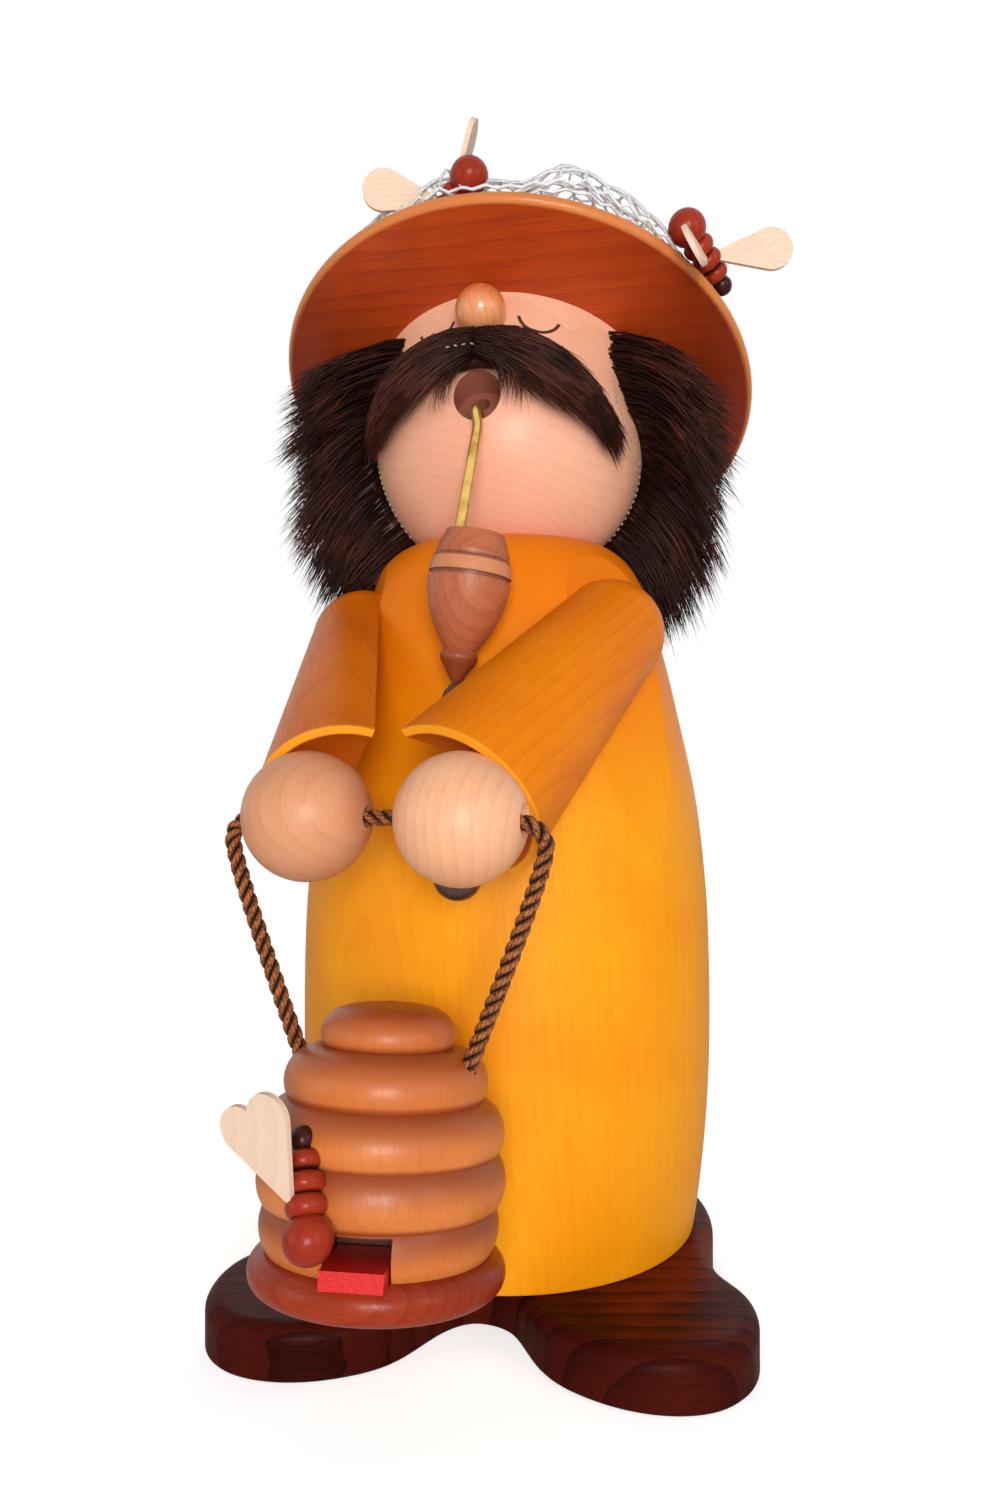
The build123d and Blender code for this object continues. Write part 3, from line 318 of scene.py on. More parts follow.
def wooden_finish(
    name, light, dark, grain, across, pith, rings, shares, gloss, middle=(0, 0, 0), varnish=0.0,
    relief=0.2, shine=0.32,
):
    """Stained and lacquered wood. The grain runs along one direction, with the rings round the pith."""
    finish, tree, shader = new_finish(name)
    along = Vector(grain).normalized()
    side = Vector(across)
    side = (side - along * side.dot(along)).normalized()
    turned = Matrix((side, along.cross(side), along))
    start = turned @ Vector(middle)
    place = object_place(tree)
    shift = (pith[0] - start.x, pith[1] - start.y, -start.z)
    feeds = {"Vector": place, "Rotation": turned.to_euler(), "Location": shift}
    laid = node(tree, "ShaderNodeMapping", None, feeds).outputs[0]
    feeds = {"Vector": laid, "Ring Spacing": rings[0], "Waviness": rings[1], "Fibre Spacing": rings[2]}
    ring_line, fibre, clouds = node(tree, "ShaderNodeGroup", {"node_tree": wood_figure}, feeds).outputs
    share = times(ring_line, shares[0])
    share = sums("MULTIPLY_ADD", fibre, shares[1], share)
    share = sums("MULTIPLY_ADD", clouds, shares[2], share)
    feed(stain(share, light, dark), shader, "Base Color")
    feed(sums("MULTIPLY_ADD", fibre, 0.10, gloss - 0.05), shader, "Roughness")
    settle(shader, Specular_IOR_Level=shine, Coat_Weight=varnish, Coat_Roughness=0.14)
    add_bump(shader, sums("MULTIPLY_ADD", ring_line, 0.5, fibre), 0.00012, relief)
    return finish, shader, place, ring_line


def recolour(shader, share, colour, weight=None):
    """Lays another colour over the first where the share says so, up to a weight: stains and painted light
    and shade alike.
    """
    if weight:
        share = times(share, weight)
    under = shader.inputs["Base Color"].links[0].from_socket
    feed(stain(share, under, colour), shader, "Base Color")


def dress(name, finish):
    """Puts a finish on a piece of the frame."""
    piece = parts[name]
    if not piece.material_slots:
        piece.data.materials.append(finish)
    for place in piece.material_slots:
        place.material = finish


def axis_places(place, start, direction):
    """How far a point lies along an axis, and how far off it."""
    start, direction = Vector(start), Vector(direction).normalized()
    off = vectors("SUBTRACT", place, start)[0]
    along = vectors("DOT_PRODUCT", off, direction)[1]
    aside = vectors("CROSS_PRODUCT", off, direction)[0]
    radius = vectors("LENGTH", aside)[1]
    return along, radius


# Shoe base: one thick board sawn to two shoes and lacquered very dark maroon. Redder wood shows
# through in patches where the lacquer was rubbed back, with the curved figure of the board.
maroon_lacquer, shader, place, ring_line = wooden_finish(
    "maroon_lacquer", (0.075, 0.0080, 0.004), (0.016, 0.0018, 0.0012), grain=(1, 0.35, 0),
    across=(0, 0, 1), middle=(0.05, -0.16, 0.03), pith=(0.02, 0.01), rings=(0.009, 0.02, 0.0007),
    shares=(0.5, 0.3, 0.3), gloss=0.38, relief=0.35, shine=0.03,
)
patch = noise(place, 17.0, 3.0)
patch = fade(sums("MULTIPLY_ADD", ring_line, -0.10, patch), 0.52, 0.70)
recolour(shader, patch, (0.22, 0.026, 0.003), 0.60)
dress("shoe_base", maroon_lacquer)

# Base plug: a raw turned disc that the coat slips over, held from below by three plated screws.
raw_wood = wooden_finish(
    "raw_beech", (0.66, 0.43, 0.24), (0.47, 0.27, 0.13), grain=(1, 0, 0), across=(0, 0, 1),
    pith=(0.05, 0.03), rings=(0.003, 0.006, 0.0006), shares=(0.35, 0.4, 0.3), gloss=0.6, relief=0.4,
)[0]
for plain_name in (
    "base_plug", "neck_tube", "hat_dowel", "hive_dowel", "shoulder_dowel_left", "shoulder_dowel_right",
    "hand_dowel_left", "hand_dowel_right",
):
    dress(plain_name, raw_wood)


def metal_finish(name, bright, dull, roughness):
    """Drawn or pressed metal with fine scratches and a little tarnish."""
    finish, tree, shader = new_finish(name)
    place = object_place(tree)
    stretched = vectors("MULTIPLY", place, (1.0, 1.0, 0.08))[0]
    scratch = noise(stretched, 2600.0, 2.0)
    tarnish = noise(place, 120.0, 3.0)
    feed(stain(fade(tarnish, 0.42, 0.68), bright, dull), shader, "Base Color")
    feed(sums("MULTIPLY_ADD", scratch, 0.16, roughness), shader, "Roughness")
    settle(shader, Metallic=1.0)
    add_bump(shader, scratch, 0.00004, 0.25)
    return finish, shader


dress("plug_screws", metal_finish("plated_steel", (0.60, 0.60, 0.58), (0.36, 0.36, 0.35), 0.22)[0])

# Burner: a pressed brass pan and its round-head screw, browned by smoke.
burner_brass = metal_finish("burner_brass", (0.70, 0.50, 0.20), (0.26, 0.15, 0.06), 0.28)[0]
dress("burner_dish", burner_brass)
dress("burner_screw", burner_brass)

# Coat: a turned and bored block in thin yellow-orange stain under satin lacquer, with the fine upright
# grain showing through. Towards the shoulders it is painted darker and more orange as shade under the hat.
coat_yellow = (0.92, 0.365, 0.006)
coat_orange = (0.86, 0.240, 0.002)
coat_finish, shader, place, _ = wooden_finish(
    "yellow_coat_stain_and_shoulder_shade", coat_yellow, coat_orange, grain=(0, 0, 1), across=(1, 0, 0),
    pith=(0.035, 0.09), rings=(0.0045, 0.012, 0.0006), shares=(0.20, 0.22, 0.42), gloss=0.44,
    relief=0.18, shine=0.14,
)
coat_height = split(place)[2]
# Painted shade: darker and more orange towards the shoulders, under the head and the hat.
recolour(shader, fade(coat_height, 0.17, 0.30), (0.76, 0.160, 0.001), 0.85)
dress("coat", coat_finish)

# Buttons: three small domed discs in dark stain, let into the coat's front.
button_finish = wooden_finish(
    "dark_button_stain", (0.075, 0.018, 0.009), (0.030, 0.008, 0.005), grain=(0, 0, 1),
    across=(1, 0, 0), middle=(0, -0.09, 0), pith=(0.01, 0.0), rings=(0.002, 0.003, 0.0004),
    shares=(0.4, 0.3, 0.2), gloss=0.3, varnish=0.4,
)[0]
for button_name in ("button_lower", "button_middle", "button_upper"):
    dress(button_name, button_finish)

# Sleeves: two half-round turned cones in the coat's stain, with the grain along the arm. The right
# sleeve is painted darker as the shaded side, the dish inside each cuff is painted darker as shade,
# and the cuff's edge carries a painted highlight.
shoulder = Vector((56.3, -30.2, 278.6)) * mm
flat_slope, flat_turn, arm_drop = math.radians(15), math.radians(31.5), math.radians(36)
flat_out = Vector((
    math.cos(flat_slope) * math.cos(flat_turn),
    -math.cos(flat_slope) * math.sin(flat_turn),
    math.sin(flat_slope),
))
flat_level = Vector((-math.sin(flat_turn), -math.cos(flat_turn), 0))
flat_up = flat_level.cross(flat_out)
arm_down = flat_level * math.cos(arm_drop) - flat_up * math.sin(arm_drop)
sleeve_length = 122.0 * mm
cuff_inner = 29.6 * mm
# The right sleeve's tones are painted darker than the left's, as the shaded side.
sleeve_tones_lit_and_shaded = {
    "left": ((0.81, 0.220, 0.001), (0.64, 0.128, 0.001)),
    "right": ((0.65, 0.148, 0.001), (0.50, 0.090, 0.001)),
}
for side_word, side in (("left", 1), ("right", -1)):
    seat = Vector((shoulder.x * side, shoulder.y, shoulder.z))
    down = Vector((arm_down.x * side, arm_down.y, arm_down.z))
    out = Vector((flat_out.x * side, flat_out.y, flat_out.z))
    sleeve_finish, shader, place, _ = wooden_finish(
        "yellow_sleeve_stain_and_painted_light_" + side_word, *sleeve_tones_lit_and_shaded[side_word], grain=down, across=out,
        middle=seat, pith=(0.03, -0.05), rings=(0.0042, 0.010, 0.0006), shares=(0.30, 0.25, 0.35),
        gloss=0.42, shine=0.12,
    )
    along, radius = axis_places(place, seat, down)
    # Painted highlight on the cuff's edge.
    cuff_end = fade(along, sleeve_length - 0.0016, sleeve_length - 0.0002)
    cuff_rim_highlight = times(cuff_end, fade(radius, cuff_inner - 0.001, cuff_inner + 0.0006))
    recolour(shader, cuff_rim_highlight, (0.93, 0.36, 0.02))
    # Painted shade in the dish inside the cuff.
    dish_depth = fade(along, sleeve_length - 0.0145, sleeve_length - 0.0135)
    dish_shade = times(dish_depth, fade(radius, cuff_inner + 0.0002, cuff_inner - 0.0006))
    recolour(shader, dish_shade, (0.60, 0.125, 0.006))
    dress("sleeve_" + side_word, sleeve_finish)

# Hands: two wooden balls, only lacquered, so the pale skin wood shows its waving figure.
hand_middle = Vector((27.93, -141.07, 205.36)) * mm
# The right hand's tones are painted darker than the left's, as the shaded side.
hand_tones_lit_and_shaded = {
    "left": ((0.86, 0.46, 0.26), (0.62, 0.25, 0.12)),
    "right": ((0.68, 0.305, 0.155), (0.49, 0.175, 0.075)),
}
for side_word, side in (("left", 1), ("right", -1)):
    hand_finish = wooden_finish(
        "hand_wood_" + side_word, *hand_tones_lit_and_shaded[side_word], grain=(0.12 * side, 0.25, 1),
        across=(1, 0, 0), middle=(hand_middle.x * side, hand_middle.y, hand_middle.z),
        pith=(0.030, 0.018 * side), rings=(0.0046, 0.012, 0.0005), shares=(0.24, 0.20, 0.26),
        gloss=0.44, varnish=0.05, relief=0.12,
    )[0]
    dress("hand_" + side_word, hand_finish)

# Head: an egg-shaped turned ball in pink skin stain, tilted back. The mouth is bored and stained
# brown inside, painted darker there as shade, and the closed eyes are two thin arcs painted on it.
head_middle = Vector((0.0, 5.0, 365.0)) * mm
head_turn, head_tilt = math.radians(4), math.radians(30)
facing = Vector((math.sin(head_turn), -math.cos(head_turn), 0))
head_left = Vector((math.cos(head_turn), math.sin(head_turn), 0))
head_up = Vector((0, 0, math.cos(head_tilt))) - facing * math.sin(head_tilt)
face_out = facing * math.cos(head_tilt) + Vector((0, 0, math.sin(head_tilt)))
middle_row, up_row, left_row = np.array(head_middle), np.array(head_up), np.array(head_left)


def on_head(left, out, up):
    """Place in the head's own frame, in millimetres from its middle."""
    return head_middle + (head_left * left + face_out * out + head_up * up) * mm


head_finish, shader, place, _ = wooden_finish(
    "pink_skin_stain", (0.86, 0.455, 0.30), (0.68, 0.285, 0.160), grain=head_up, across=head_left,
    middle=head_middle, pith=(0.012, -0.02), rings=(0.0036, 0.011, 0.0005), shares=(0.22, 0.14, 0.30),
    gloss=0.42, varnish=0.05, relief=0.12,
)
chin = vectors("DISTANCE", place, on_head(0, 52, -38))[1]
recolour(shader, fade(chin, 0.055, 0.012), (0.80, 0.31, 0.20), 0.42)
# Inside the bored mouth: brown stain, painted darker as the shade in the hole.
mouth_along, mouth_radius = axis_places(place, on_head(0, 0, -23.3), face_out)
bore_stain_and_shade = times(fade(mouth_radius, 0.01005, 0.00985), fade(mouth_along, 0.03, 0.035))
recolour(shader, bore_stain_and_shade, (0.30, 0.095, 0.060))
for eye_side in (1, -1):
    eye_middle = on_head(21.8 * eye_side, 56.9, 12.2)
    eye_across = head_left * (0.932 * eye_side) - face_out * 0.361
    eye_up = head_left * (-0.087 * eye_side) - face_out * 0.223 + head_up * 0.971
    eye_off = vectors("SUBTRACT", place, eye_middle)[0]
    eye_x = vectors("DOT_PRODUCT", eye_off, eye_across)[1]
    eye_y = vectors("DOT_PRODUCT", eye_off, eye_up)[1]
    eye_distance = vectors("LENGTH", eye_off)[1]
    eye_drop = sums("SUBTRACT", eye_y, 5.8 * mm)
    eye_squares = sums("ADD", sums("POWER", eye_x, 2.0), sums("POWER", eye_drop, 2.0))
    eye_ring = sums("SQRT", eye_squares)
    eye_line = sums("ABSOLUTE", sums("SUBTRACT", eye_ring, 9.0 * mm))
    eye_line = fade(eye_line, 0.00084, 0.00052)
    eye_line = times(eye_line, fade(eye_y, 3.6 * mm, 3.0 * mm))
    eye_line = times(eye_line, fade(eye_distance, 0.016, 0.015))
    recolour(shader, eye_line, (0.055, 0.018, 0.008))
dress("head", head_finish)

# Nose: a smaller ball in a darker stain, darker and redder still towards its top.
nose_middle = on_head(0, 69.0, 11.0)
nose_finish, shader, place, _ = wooden_finish(
    "nose_stain", (0.78, 0.310, 0.125), (0.58, 0.190, 0.068), grain=head_up, across=head_left,
    middle=nose_middle, pith=(0.012, 0.004), rings=(0.0024, 0.004, 0.0004), shares=(0.45, 0.2, 0.2),
    gloss=0.32, varnish=0.45, relief=0.15,
)
nose_rise, _ = axis_places(place, nose_middle, (0, 0, 1))
recolour(shader, fade(nose_rise, -0.003, 0.008), (0.62, 0.135, 0.035), 0.75)
dress("nose", nose_finish)

# Hair: a strip of long-pile fur on a knitted backing, glued round the back of the head from cheek
# to cheek. The pile lies outwards and falls, in locks that end in points.
hair_rng = np.random.default_rng(7)
hair_core = 61.6 * mm
strip_foot = -44 * mm
strip_rise = 70
brim_under = 26.7 * mm
hair_edge_heights = np.array([-44, -38, -23, -11, -2, 11, 34]) * mm
hair_edge_left = np.radians([106, 103, 97, 86, 68, 62, 64])
hair_edge_right = np.radians([-68, -67, -65, -64, -58, -50, -50])
hair_outer_radii = np.array([76.4, 90.3, 100.8, 105.0, 104.5, 97.7]) * mm
hair_outer_heights = np.array([-86.0, -77.4, -53.3, -17.2, 10.2, 34.0]) * mm
coat_levels = np.array([150.0, 184.0, 210.0, 237.0, 262.0, 284.0, 302.0, 312.0, 318.0]) * mm
coat_radii = np.array([89.7, 87.3, 83.8, 78.0, 72.2, 66.4, 60.0, 52.8, 43.3]) * mm

bpy.ops.object.select_all(action="DESELECT")
bpy.ops.mesh.primitive_cone_add(
    vertices=3, radius1=1.0, radius2=0.0, depth=1.0, end_fill_type="NGON", location=(0, 0, 0.5)
)
hair_lock = bpy.context.object
bpy.ops.object.mode_set(mode="EDIT")
for cut in (0.3, 0.6, 0.85):
    bpy.ops.mesh.select_all(action="SELECT")
    bpy.ops.mesh.bisect(plane_co=(0, 0, cut), plane_no=(0, 0, 1))
bpy.ops.object.mode_set(mode="OBJECT")
bpy.ops.object.transform_apply(location=True, rotation=True, scale=True)
lock_places = np.array([vertex.co[:] for vertex in hair_lock.data.vertices])
lock_places[:, :2] *= np.clip(1.0 - lock_places[:, 2:3], 0.02, 1.0) ** -0.55
lock_faces = [list(face.vertices) for face in hair_lock.data.polygons]
bpy.data.objects.remove(hair_lock)


def comb(name, roots, bends, tips, width, tones):
    """One mesh of fur: a copy of the lock along each strand from its root over its bend to its tip."""
    share = lock_places[:, 2][None, :, None]
    root, bend, tip = roots[:, None], bends[:, None], tips[:, None]
    core = root * (1 - share) ** 2 + bend * 2 * share * (1 - share) + tip * share**2
    run = (bend - root) * (1 - share) + (tip - bend) * share
    run /= np.linalg.norm(run, axis=2, keepdims=True) + 1e-12
    lean = hair_rng.normal(size=(len(roots), 1, 3))
    side = np.cross(run, np.broadcast_to(lean, run.shape))
    side /= np.linalg.norm(side, axis=2, keepdims=True) + 1e-12
    over = np.cross(run, side)
    widths = width[:, None, None]
    across, above = lock_places[:, 0][None, :, None], lock_places[:, 1][None, :, None]
    places = core + (side * across + over * above) * widths
    faces, lay = [], []
    for index in range(len(roots)):
        first = index * len(lock_places)
        tone = float(tones[index])
        for face in lock_faces:
            faces.append([first + corner for corner in face])
            lay.extend((tone, float(lock_places[corner, 2])) for corner in face)
    return mesh_piece(name, places.reshape(-1, 3).tolist(), faces, fur_pile, "pile", lay)


def gather_tips(anchors, tips, locks, pull):
    """Pulls each strand's tip towards the tip of the nearest lock."""
    chosen = hair_rng.choice(len(anchors), locks, replace=False)
    near = np.argmin(((anchors[:, None] - anchors[chosen][None]) ** 2).sum(2), axis=1)
    reach = tips[chosen] - anchors[chosen]
    reach *= hair_rng.uniform(0.86, 1.10, (locks, 1))
    goal = anchors[chosen][near] + reach[near]
    return tips * (1 - pull) + goal * pull


fur_pile, tree, shader = new_finish("dark_brown_fur", Specular_IOR_Level=0.16)
pile_map = node(tree, "ShaderNodeUVMap", {"uv_map": "pile"}).outputs[0]
strand_shade, strand_reach, _ = split(pile_map)
pile_clouds = noise(object_place(tree), 60.0, 2.0)
pile_red = times(strand_shade, fade(strand_reach, 0.15, 0.8))
pile_red = times(pile_red, fade(pile_clouds, 0.35, 0.65))
pile_tone = stain(strand_shade, (0.0120, 0.0036, 0.0024), (0.040, 0.0115, 0.0072))
pile_tone = stain(pile_red, pile_tone, (0.150, 0.040, 0.024))
feed(pile_tone, shader, "Base Color")
feed(sums("MULTIPLY_ADD", pile_clouds, 0.15, 0.34), shader, "Roughness")


def around_head(angle, radius, height):
    """Points round the upright axis through the head's middle, the angle from where it faces."""
    angle, radius, height = np.broadcast_arrays(angle, radius, height)
    ahead = np.cos(angle)[..., None] * np.array(facing) + np.sin(angle)[..., None] * left_row
    return middle_row + ahead * radius[..., None] + np.array((0.0, 0.0, 1.0)) * height[..., None]


def under_brim(points, gap):
    """Holds fur points below the brim's underside."""
    rise = (points - middle_row) @ up_row
    over = np.clip(rise - (brim_under - gap), 0, None)
    return points - over[..., None] * up_row


def off_arms(points, gap):
    """Pushes fur points out of the coat's shoulders and the sleeves."""
    radius = np.linalg.norm(points[..., :2], axis=-1)
    wall = np.interp(points[..., 2], coat_levels, coat_radii, right=0.0) + gap
    grow = np.clip(wall - radius, 0, None) * (points[..., 2] < 0.318)
    points = points.copy()
    points[..., :2] *= (1 + grow / np.maximum(radius, 1e-6))[..., None]
    for side in (1, -1):
        seat = np.array((shoulder.x * side, shoulder.y, shoulder.z))
        down = np.array((arm_down.x * side, arm_down.y, arm_down.z))
        off = points - seat
        along = np.clip(off @ down, 0, sleeve_length)
        aside = off - along[..., None] * down
        reach = np.linalg.norm(aside, axis=-1)
        wall = 0.0215 + along / sleeve_length * 0.011 + gap
        points = points + aside * (np.clip(wall - reach, 0, None) / np.maximum(reach, 1e-6))[..., None]
    return points


def strand_places(angle, rise, length):
    """Root, bend and tip of strands at an angle round the head and a share of the strip's height."""
    off_middle = around_head(angle, hair_core, 0.0) - middle_row
    brim_level = np.clip((brim_under - off_middle @ up_row) / head_up.z, -0.03, 0.047)
    height = strip_foot + rise * (brim_level - 0.8 * mm - strip_foot)
    core = np.sqrt(np.maximum(hair_core**2 - height**2, 1e-9))
    tip_share = np.clip(rise * 0.92 - 0.02, 0, 1) * (len(hair_outer_radii) - 1)
    order = np.arange(len(hair_outer_radii))
    tip_radius = np.interp(tip_share, order, hair_outer_radii)
    tip_height = np.interp(tip_share, order, hair_outer_heights)
    tip_height = np.minimum(tip_height, height - 6 * mm)
    root = around_head(angle, core, height)
    full = around_head(angle, tip_radius, tip_height)
    tip = root + (full - root) * length[..., None]
    bend = root + (full - root) * 0.42 * length[..., None]
    bend += (around_head(angle, core + 1.0, height) - root) * (9 * mm * length)[..., None]
    bend[..., 2] += 5 * mm * length
    return root, bend, tip


strand_count = 15000
strand_rise = hair_rng.uniform(0.0, 1.0, strand_count) ** 0.9
strand_height = strip_foot + strand_rise * strip_rise * mm
edge_left = np.interp(strand_height, hair_edge_heights, hair_edge_left)
edge_right = np.interp(strand_height, hair_edge_heights, hair_edge_right) + 2 * math.pi
strand_angle = edge_left + (edge_right - edge_left) * hair_rng.uniform(0, 1, strand_count)
strand_length = hair_rng.uniform(0.62, 1.0, strand_count)
root, bend, tip = strand_places(strand_angle, strand_rise, strand_length)
tip = gather_tips(root, tip, 520, 0.38)
tip += hair_rng.normal(0, 2.2 * mm, tip.shape)
bend += hair_rng.normal(0, 1.5 * mm, bend.shape)
tip[:, 2] -= hair_rng.uniform(0, 5 * mm, strand_count)
tip[:, 2] -= 7 * mm * np.sin(strand_angle) * (1 - strand_rise)
tip[:, :2] += (tip - middle_row)[:, :2] * (0.03 * np.clip(-np.sin(strand_angle), 0, 1))[:, None]
tip = off_arms(under_brim(tip, 1.6 * mm), 1.0 * mm)
bend = off_arms(under_brim(bend, 1.6 * mm), 1.0 * mm)
strand_tone = np.clip(hair_rng.normal(0.42, 0.28, strand_count), 0, 1)
strand_width = hair_rng.uniform(0.28, 0.55, strand_count) * mm
hair_fur = []
for side_word, half in (("left", strand_angle < math.pi), ("right", strand_angle >= math.pi)):
    strands = [values[half] for values in (root, bend, tip, strand_width, strand_tone)]
    hair_fur.append(comb("hair_fur_" + side_word, *strands))


def push_off(points, middle, limit):
    """Moves points that lie within a limit of a middle straight out to it."""
    off = points - np.array(middle)
    reach = np.linalg.norm(off, axis=-1, keepdims=True)
    points += off / reach * np.clip(limit - reach, 0, None)


def undercoat(name, inner, outer):
    """Closed shell between two grids of points: the short dense hair under the long pile."""
    rows, columns = inner.shape[:2]
    places = np.concatenate([inner.reshape(-1, 3), outer.reshape(-1, 3)])
    shift = rows * columns
    faces = []
    for row in range(rows - 1):
        for column in range(columns - 1):
            a = row * columns + column
            b, c, d = a + 1, a + columns + 1, a + columns
            faces.append((a, b, c, d))
            faces.append((a + shift, d + shift, c + shift, b + shift))
    for a in range(0, shift - columns, columns):
        b = a + columns - 1
        faces.append((a, a + columns, a + columns + shift, a + shift))
        faces.append((b + shift, b + columns + shift, b + columns, b))
    for a in range(columns - 1):
        b = a + shift - columns
        faces.append((a, a + 1, a + 1 + shift, a + shift))
        faces.append((b + shift, b + 1 + shift, b + 1, b))
    piece = mesh_piece(name, places.tolist(), faces, fur_pile, "pile")
    choose(piece)
    bpy.ops.object.mode_set(mode="EDIT")
    bpy.ops.mesh.select_all(action="SELECT")
    bpy.ops.mesh.normals_make_consistent(inside=False)
    bpy.ops.object.mode_set(mode="OBJECT")
    return piece


coat_rises = np.linspace(0.0, 1.0, 14)
coat_shares = np.linspace(0.0, 1.0, 72)
grid_rise, grid_share = np.meshgrid(coat_rises, coat_shares, indexing="ij")
grid_height = strip_foot + grid_rise * strip_rise * mm
grid_left = np.interp(grid_height, hair_edge_heights, hair_edge_left) + math.radians(2)
grid_right = np.interp(grid_height, hair_edge_heights, hair_edge_right) + 2 * math.pi - math.radians(2)
grid_angle = grid_left + (grid_right - grid_left) * grid_share
grid_root, grid_bend, grid_tip = strand_places(grid_angle, grid_rise, np.ones_like(grid_rise))
puff = 0.50 + 0.05 * np.sin(grid_share * 61) * np.sin(grid_rise * 17)
ends = np.minimum(grid_share, 1 - grid_share) * 40
puff = puff * np.clip(ends, 0.12, 1.0)
puff = puff[..., None]
grid_outer = grid_root * (1 - puff) ** 2 + grid_bend * 2 * puff * (1 - puff) + grid_tip * puff**2
grid_outer = off_arms(under_brim(grid_outer, 1.4 * mm), 1.0 * mm)
hair_under = undercoat("hair_under", grid_root, grid_outer)

bpy.ops.object.select_all(action="DESELECT")
bpy.ops.mesh.primitive_uv_sphere_add(segments=6, ring_count=4, radius=1.0)
stitch_loop = bpy.context.object
bpy.ops.object.mode_set(mode="EDIT")
bpy.ops.mesh.select_all(action="SELECT")
bpy.ops.transform.resize(value=(0.36 * mm, 0.36 * mm, 0.85 * mm))
bpy.ops.object.mode_set(mode="OBJECT")
stitch_places = np.array([vertex.co[:] for vertex in stitch_loop.data.vertices])
stitch_faces = [list(face.vertices) for face in stitch_loop.data.polygons]
bpy.data.objects.remove(stitch_loop)

stitch_thread, tree, shader = new_finish("pale_stitch_thread", Roughness=0.8)
thread_lay = noise(object_place(tree), 1500.0, 2.0)
feed(stain(thread_lay, (0.62, 0.58, 0.52), (0.20, 0.15, 0.12)), shader, "Base Color")


def sew(name, line):
    """Slanting stitches along a line of points, as one piece."""
    places, faces = [], []
    for index in range(len(line) - 1):
        here = (line[index] + line[index + 1]) / 2
        run = line[index + 1] - line[index]
        run = run / np.linalg.norm(run)
        out = line[index] - middle_row
        out = out / np.linalg.norm(out)
        side = np.cross(run, out)
        slant = run * 0.86 + side * (0.5 if index % 2 else -0.1)
        slant = slant / np.linalg.norm(slant)
        turned = np.array([np.cross(slant, out), out, slant])
        first = len(places)
        places += (here + out * 0.25 * mm + stitch_places @ turned).tolist()
        faces += [[first + corner for corner in face] for face in stitch_faces]
    return mesh_piece(name, places, faces, stitch_thread)


stitch_heights = np.arange(-42.0, 31.0, 2.3) * mm
for side_word, edge in (("left", hair_edge_left), ("right", hair_edge_right)):
    stitch_angles = np.interp(stitch_heights, hair_edge_heights, edge)
    stitch_angles = stitch_angles - math.copysign(math.radians(1.2), edge[0])
    stitch_core = np.sqrt((61.2 * mm) ** 2 - stitch_heights**2)
    stitch_line = around_head(stitch_angles, stitch_core, stitch_heights)
    stitch_line = stitch_line[(stitch_line - middle_row) @ up_row < 25.5 * mm]
    stitches = sew("hair_stitches_" + side_word, stitch_line)
    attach(stitches, "figure")
for fur_piece in (*hair_fur, hair_under):
    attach(fur_piece, "figure")
    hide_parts("hair")

# Moustache: a smaller piece of the same fur, parted in the middle and combed outwards over both
# cheeks, glued on just under the nose.
lip_reaches = np.array([0.0, 0.25, 0.62, 1.0])
lip_sizes = np.array([0.92, 1.0, 0.78, 0.3])
lip_tip_angle = math.radians(58)


def lip_place(across, off_out, off_up):
    """A place in the moustache: across it from -1 to 1, and in its section from -1 to 1."""
    size = np.interp(np.clip(np.abs(across), 0, 1), lip_reaches, lip_sizes)
    drop = np.interp(np.abs(across), [0.0, 0.25, 0.62, 1.0, 1.25], [0.0, 0.06, 0.42, 1.0, 1.5])
    drop = drop * np.where(across > 0, 0.74, 1.0)
    height = (-8.0 - 15.5 * drop) * mm
    angle = across * lip_tip_angle
    out = np.cos(angle)[:, None] * np.array(face_out) + np.sin(angle)[:, None] * left_row
    depth = 15.0 * mm * size
    radius = 62.2 * mm + depth * (0.5 + 0.5 * off_out)
    squeeze = np.sqrt(np.clip(1 - (height / (61.8 * mm)) ** 2, 0.1, 1))
    radius = radius - (1 - squeeze) * 61 * mm * 0.85
    lift = height + off_up * 10.0 * mm * size
    return middle_row + out * radius[:, None] + up_row * lift[:, None]


lip_count = 7000
lip_side = np.where(hair_rng.uniform(size=lip_count) < 0.5, -1.0, 1.0)
lip_start = hair_rng.uniform(0.0, 0.62, lip_count) ** 1.2
lip_run = hair_rng.uniform(0.34, 0.56, lip_count)
lip_end = np.minimum(lip_start + lip_run, 1.0 + hair_rng.uniform(-0.1, 0.12, lip_count))
lip_end = lip_end * np.where(lip_side > 0, 1.17, 1.0)
lip_out = hair_rng.uniform(-0.95, 1.0, lip_count)
lip_up = hair_rng.uniform(-0.95, 0.95, lip_count)
lip_round = np.sqrt(np.clip(1 - lip_up**2, 0, 1))
lip_out *= 0.35 + 0.65 * lip_round
lip_root = lip_place(lip_side * lip_start, lip_out * 0.6, lip_up * 0.8)
lip_halfway = lip_start + (lip_end - lip_start) * 0.5
lip_bend = lip_place(lip_side * lip_halfway, lip_out * 1.05 + 0.12, lip_up * 0.95)
lip_tip = lip_place(lip_side * lip_end, lip_out * 0.9, lip_up - 0.25)
lip_tip = gather_tips(lip_root, lip_tip, 240, 0.30)
lip_tip += hair_rng.normal(0, 1.3 * mm, lip_tip.shape)
lip_low = (np.clip(0.25 - lip_up, 0, 1) * (1 - lip_start))[:, None]
lip_bend -= up_row * (6.0 * mm * lip_low)
lip_tip -= up_row * (hair_rng.uniform(0, 6.0 * mm, (lip_count, 1)) + 8.0 * mm * lip_low)
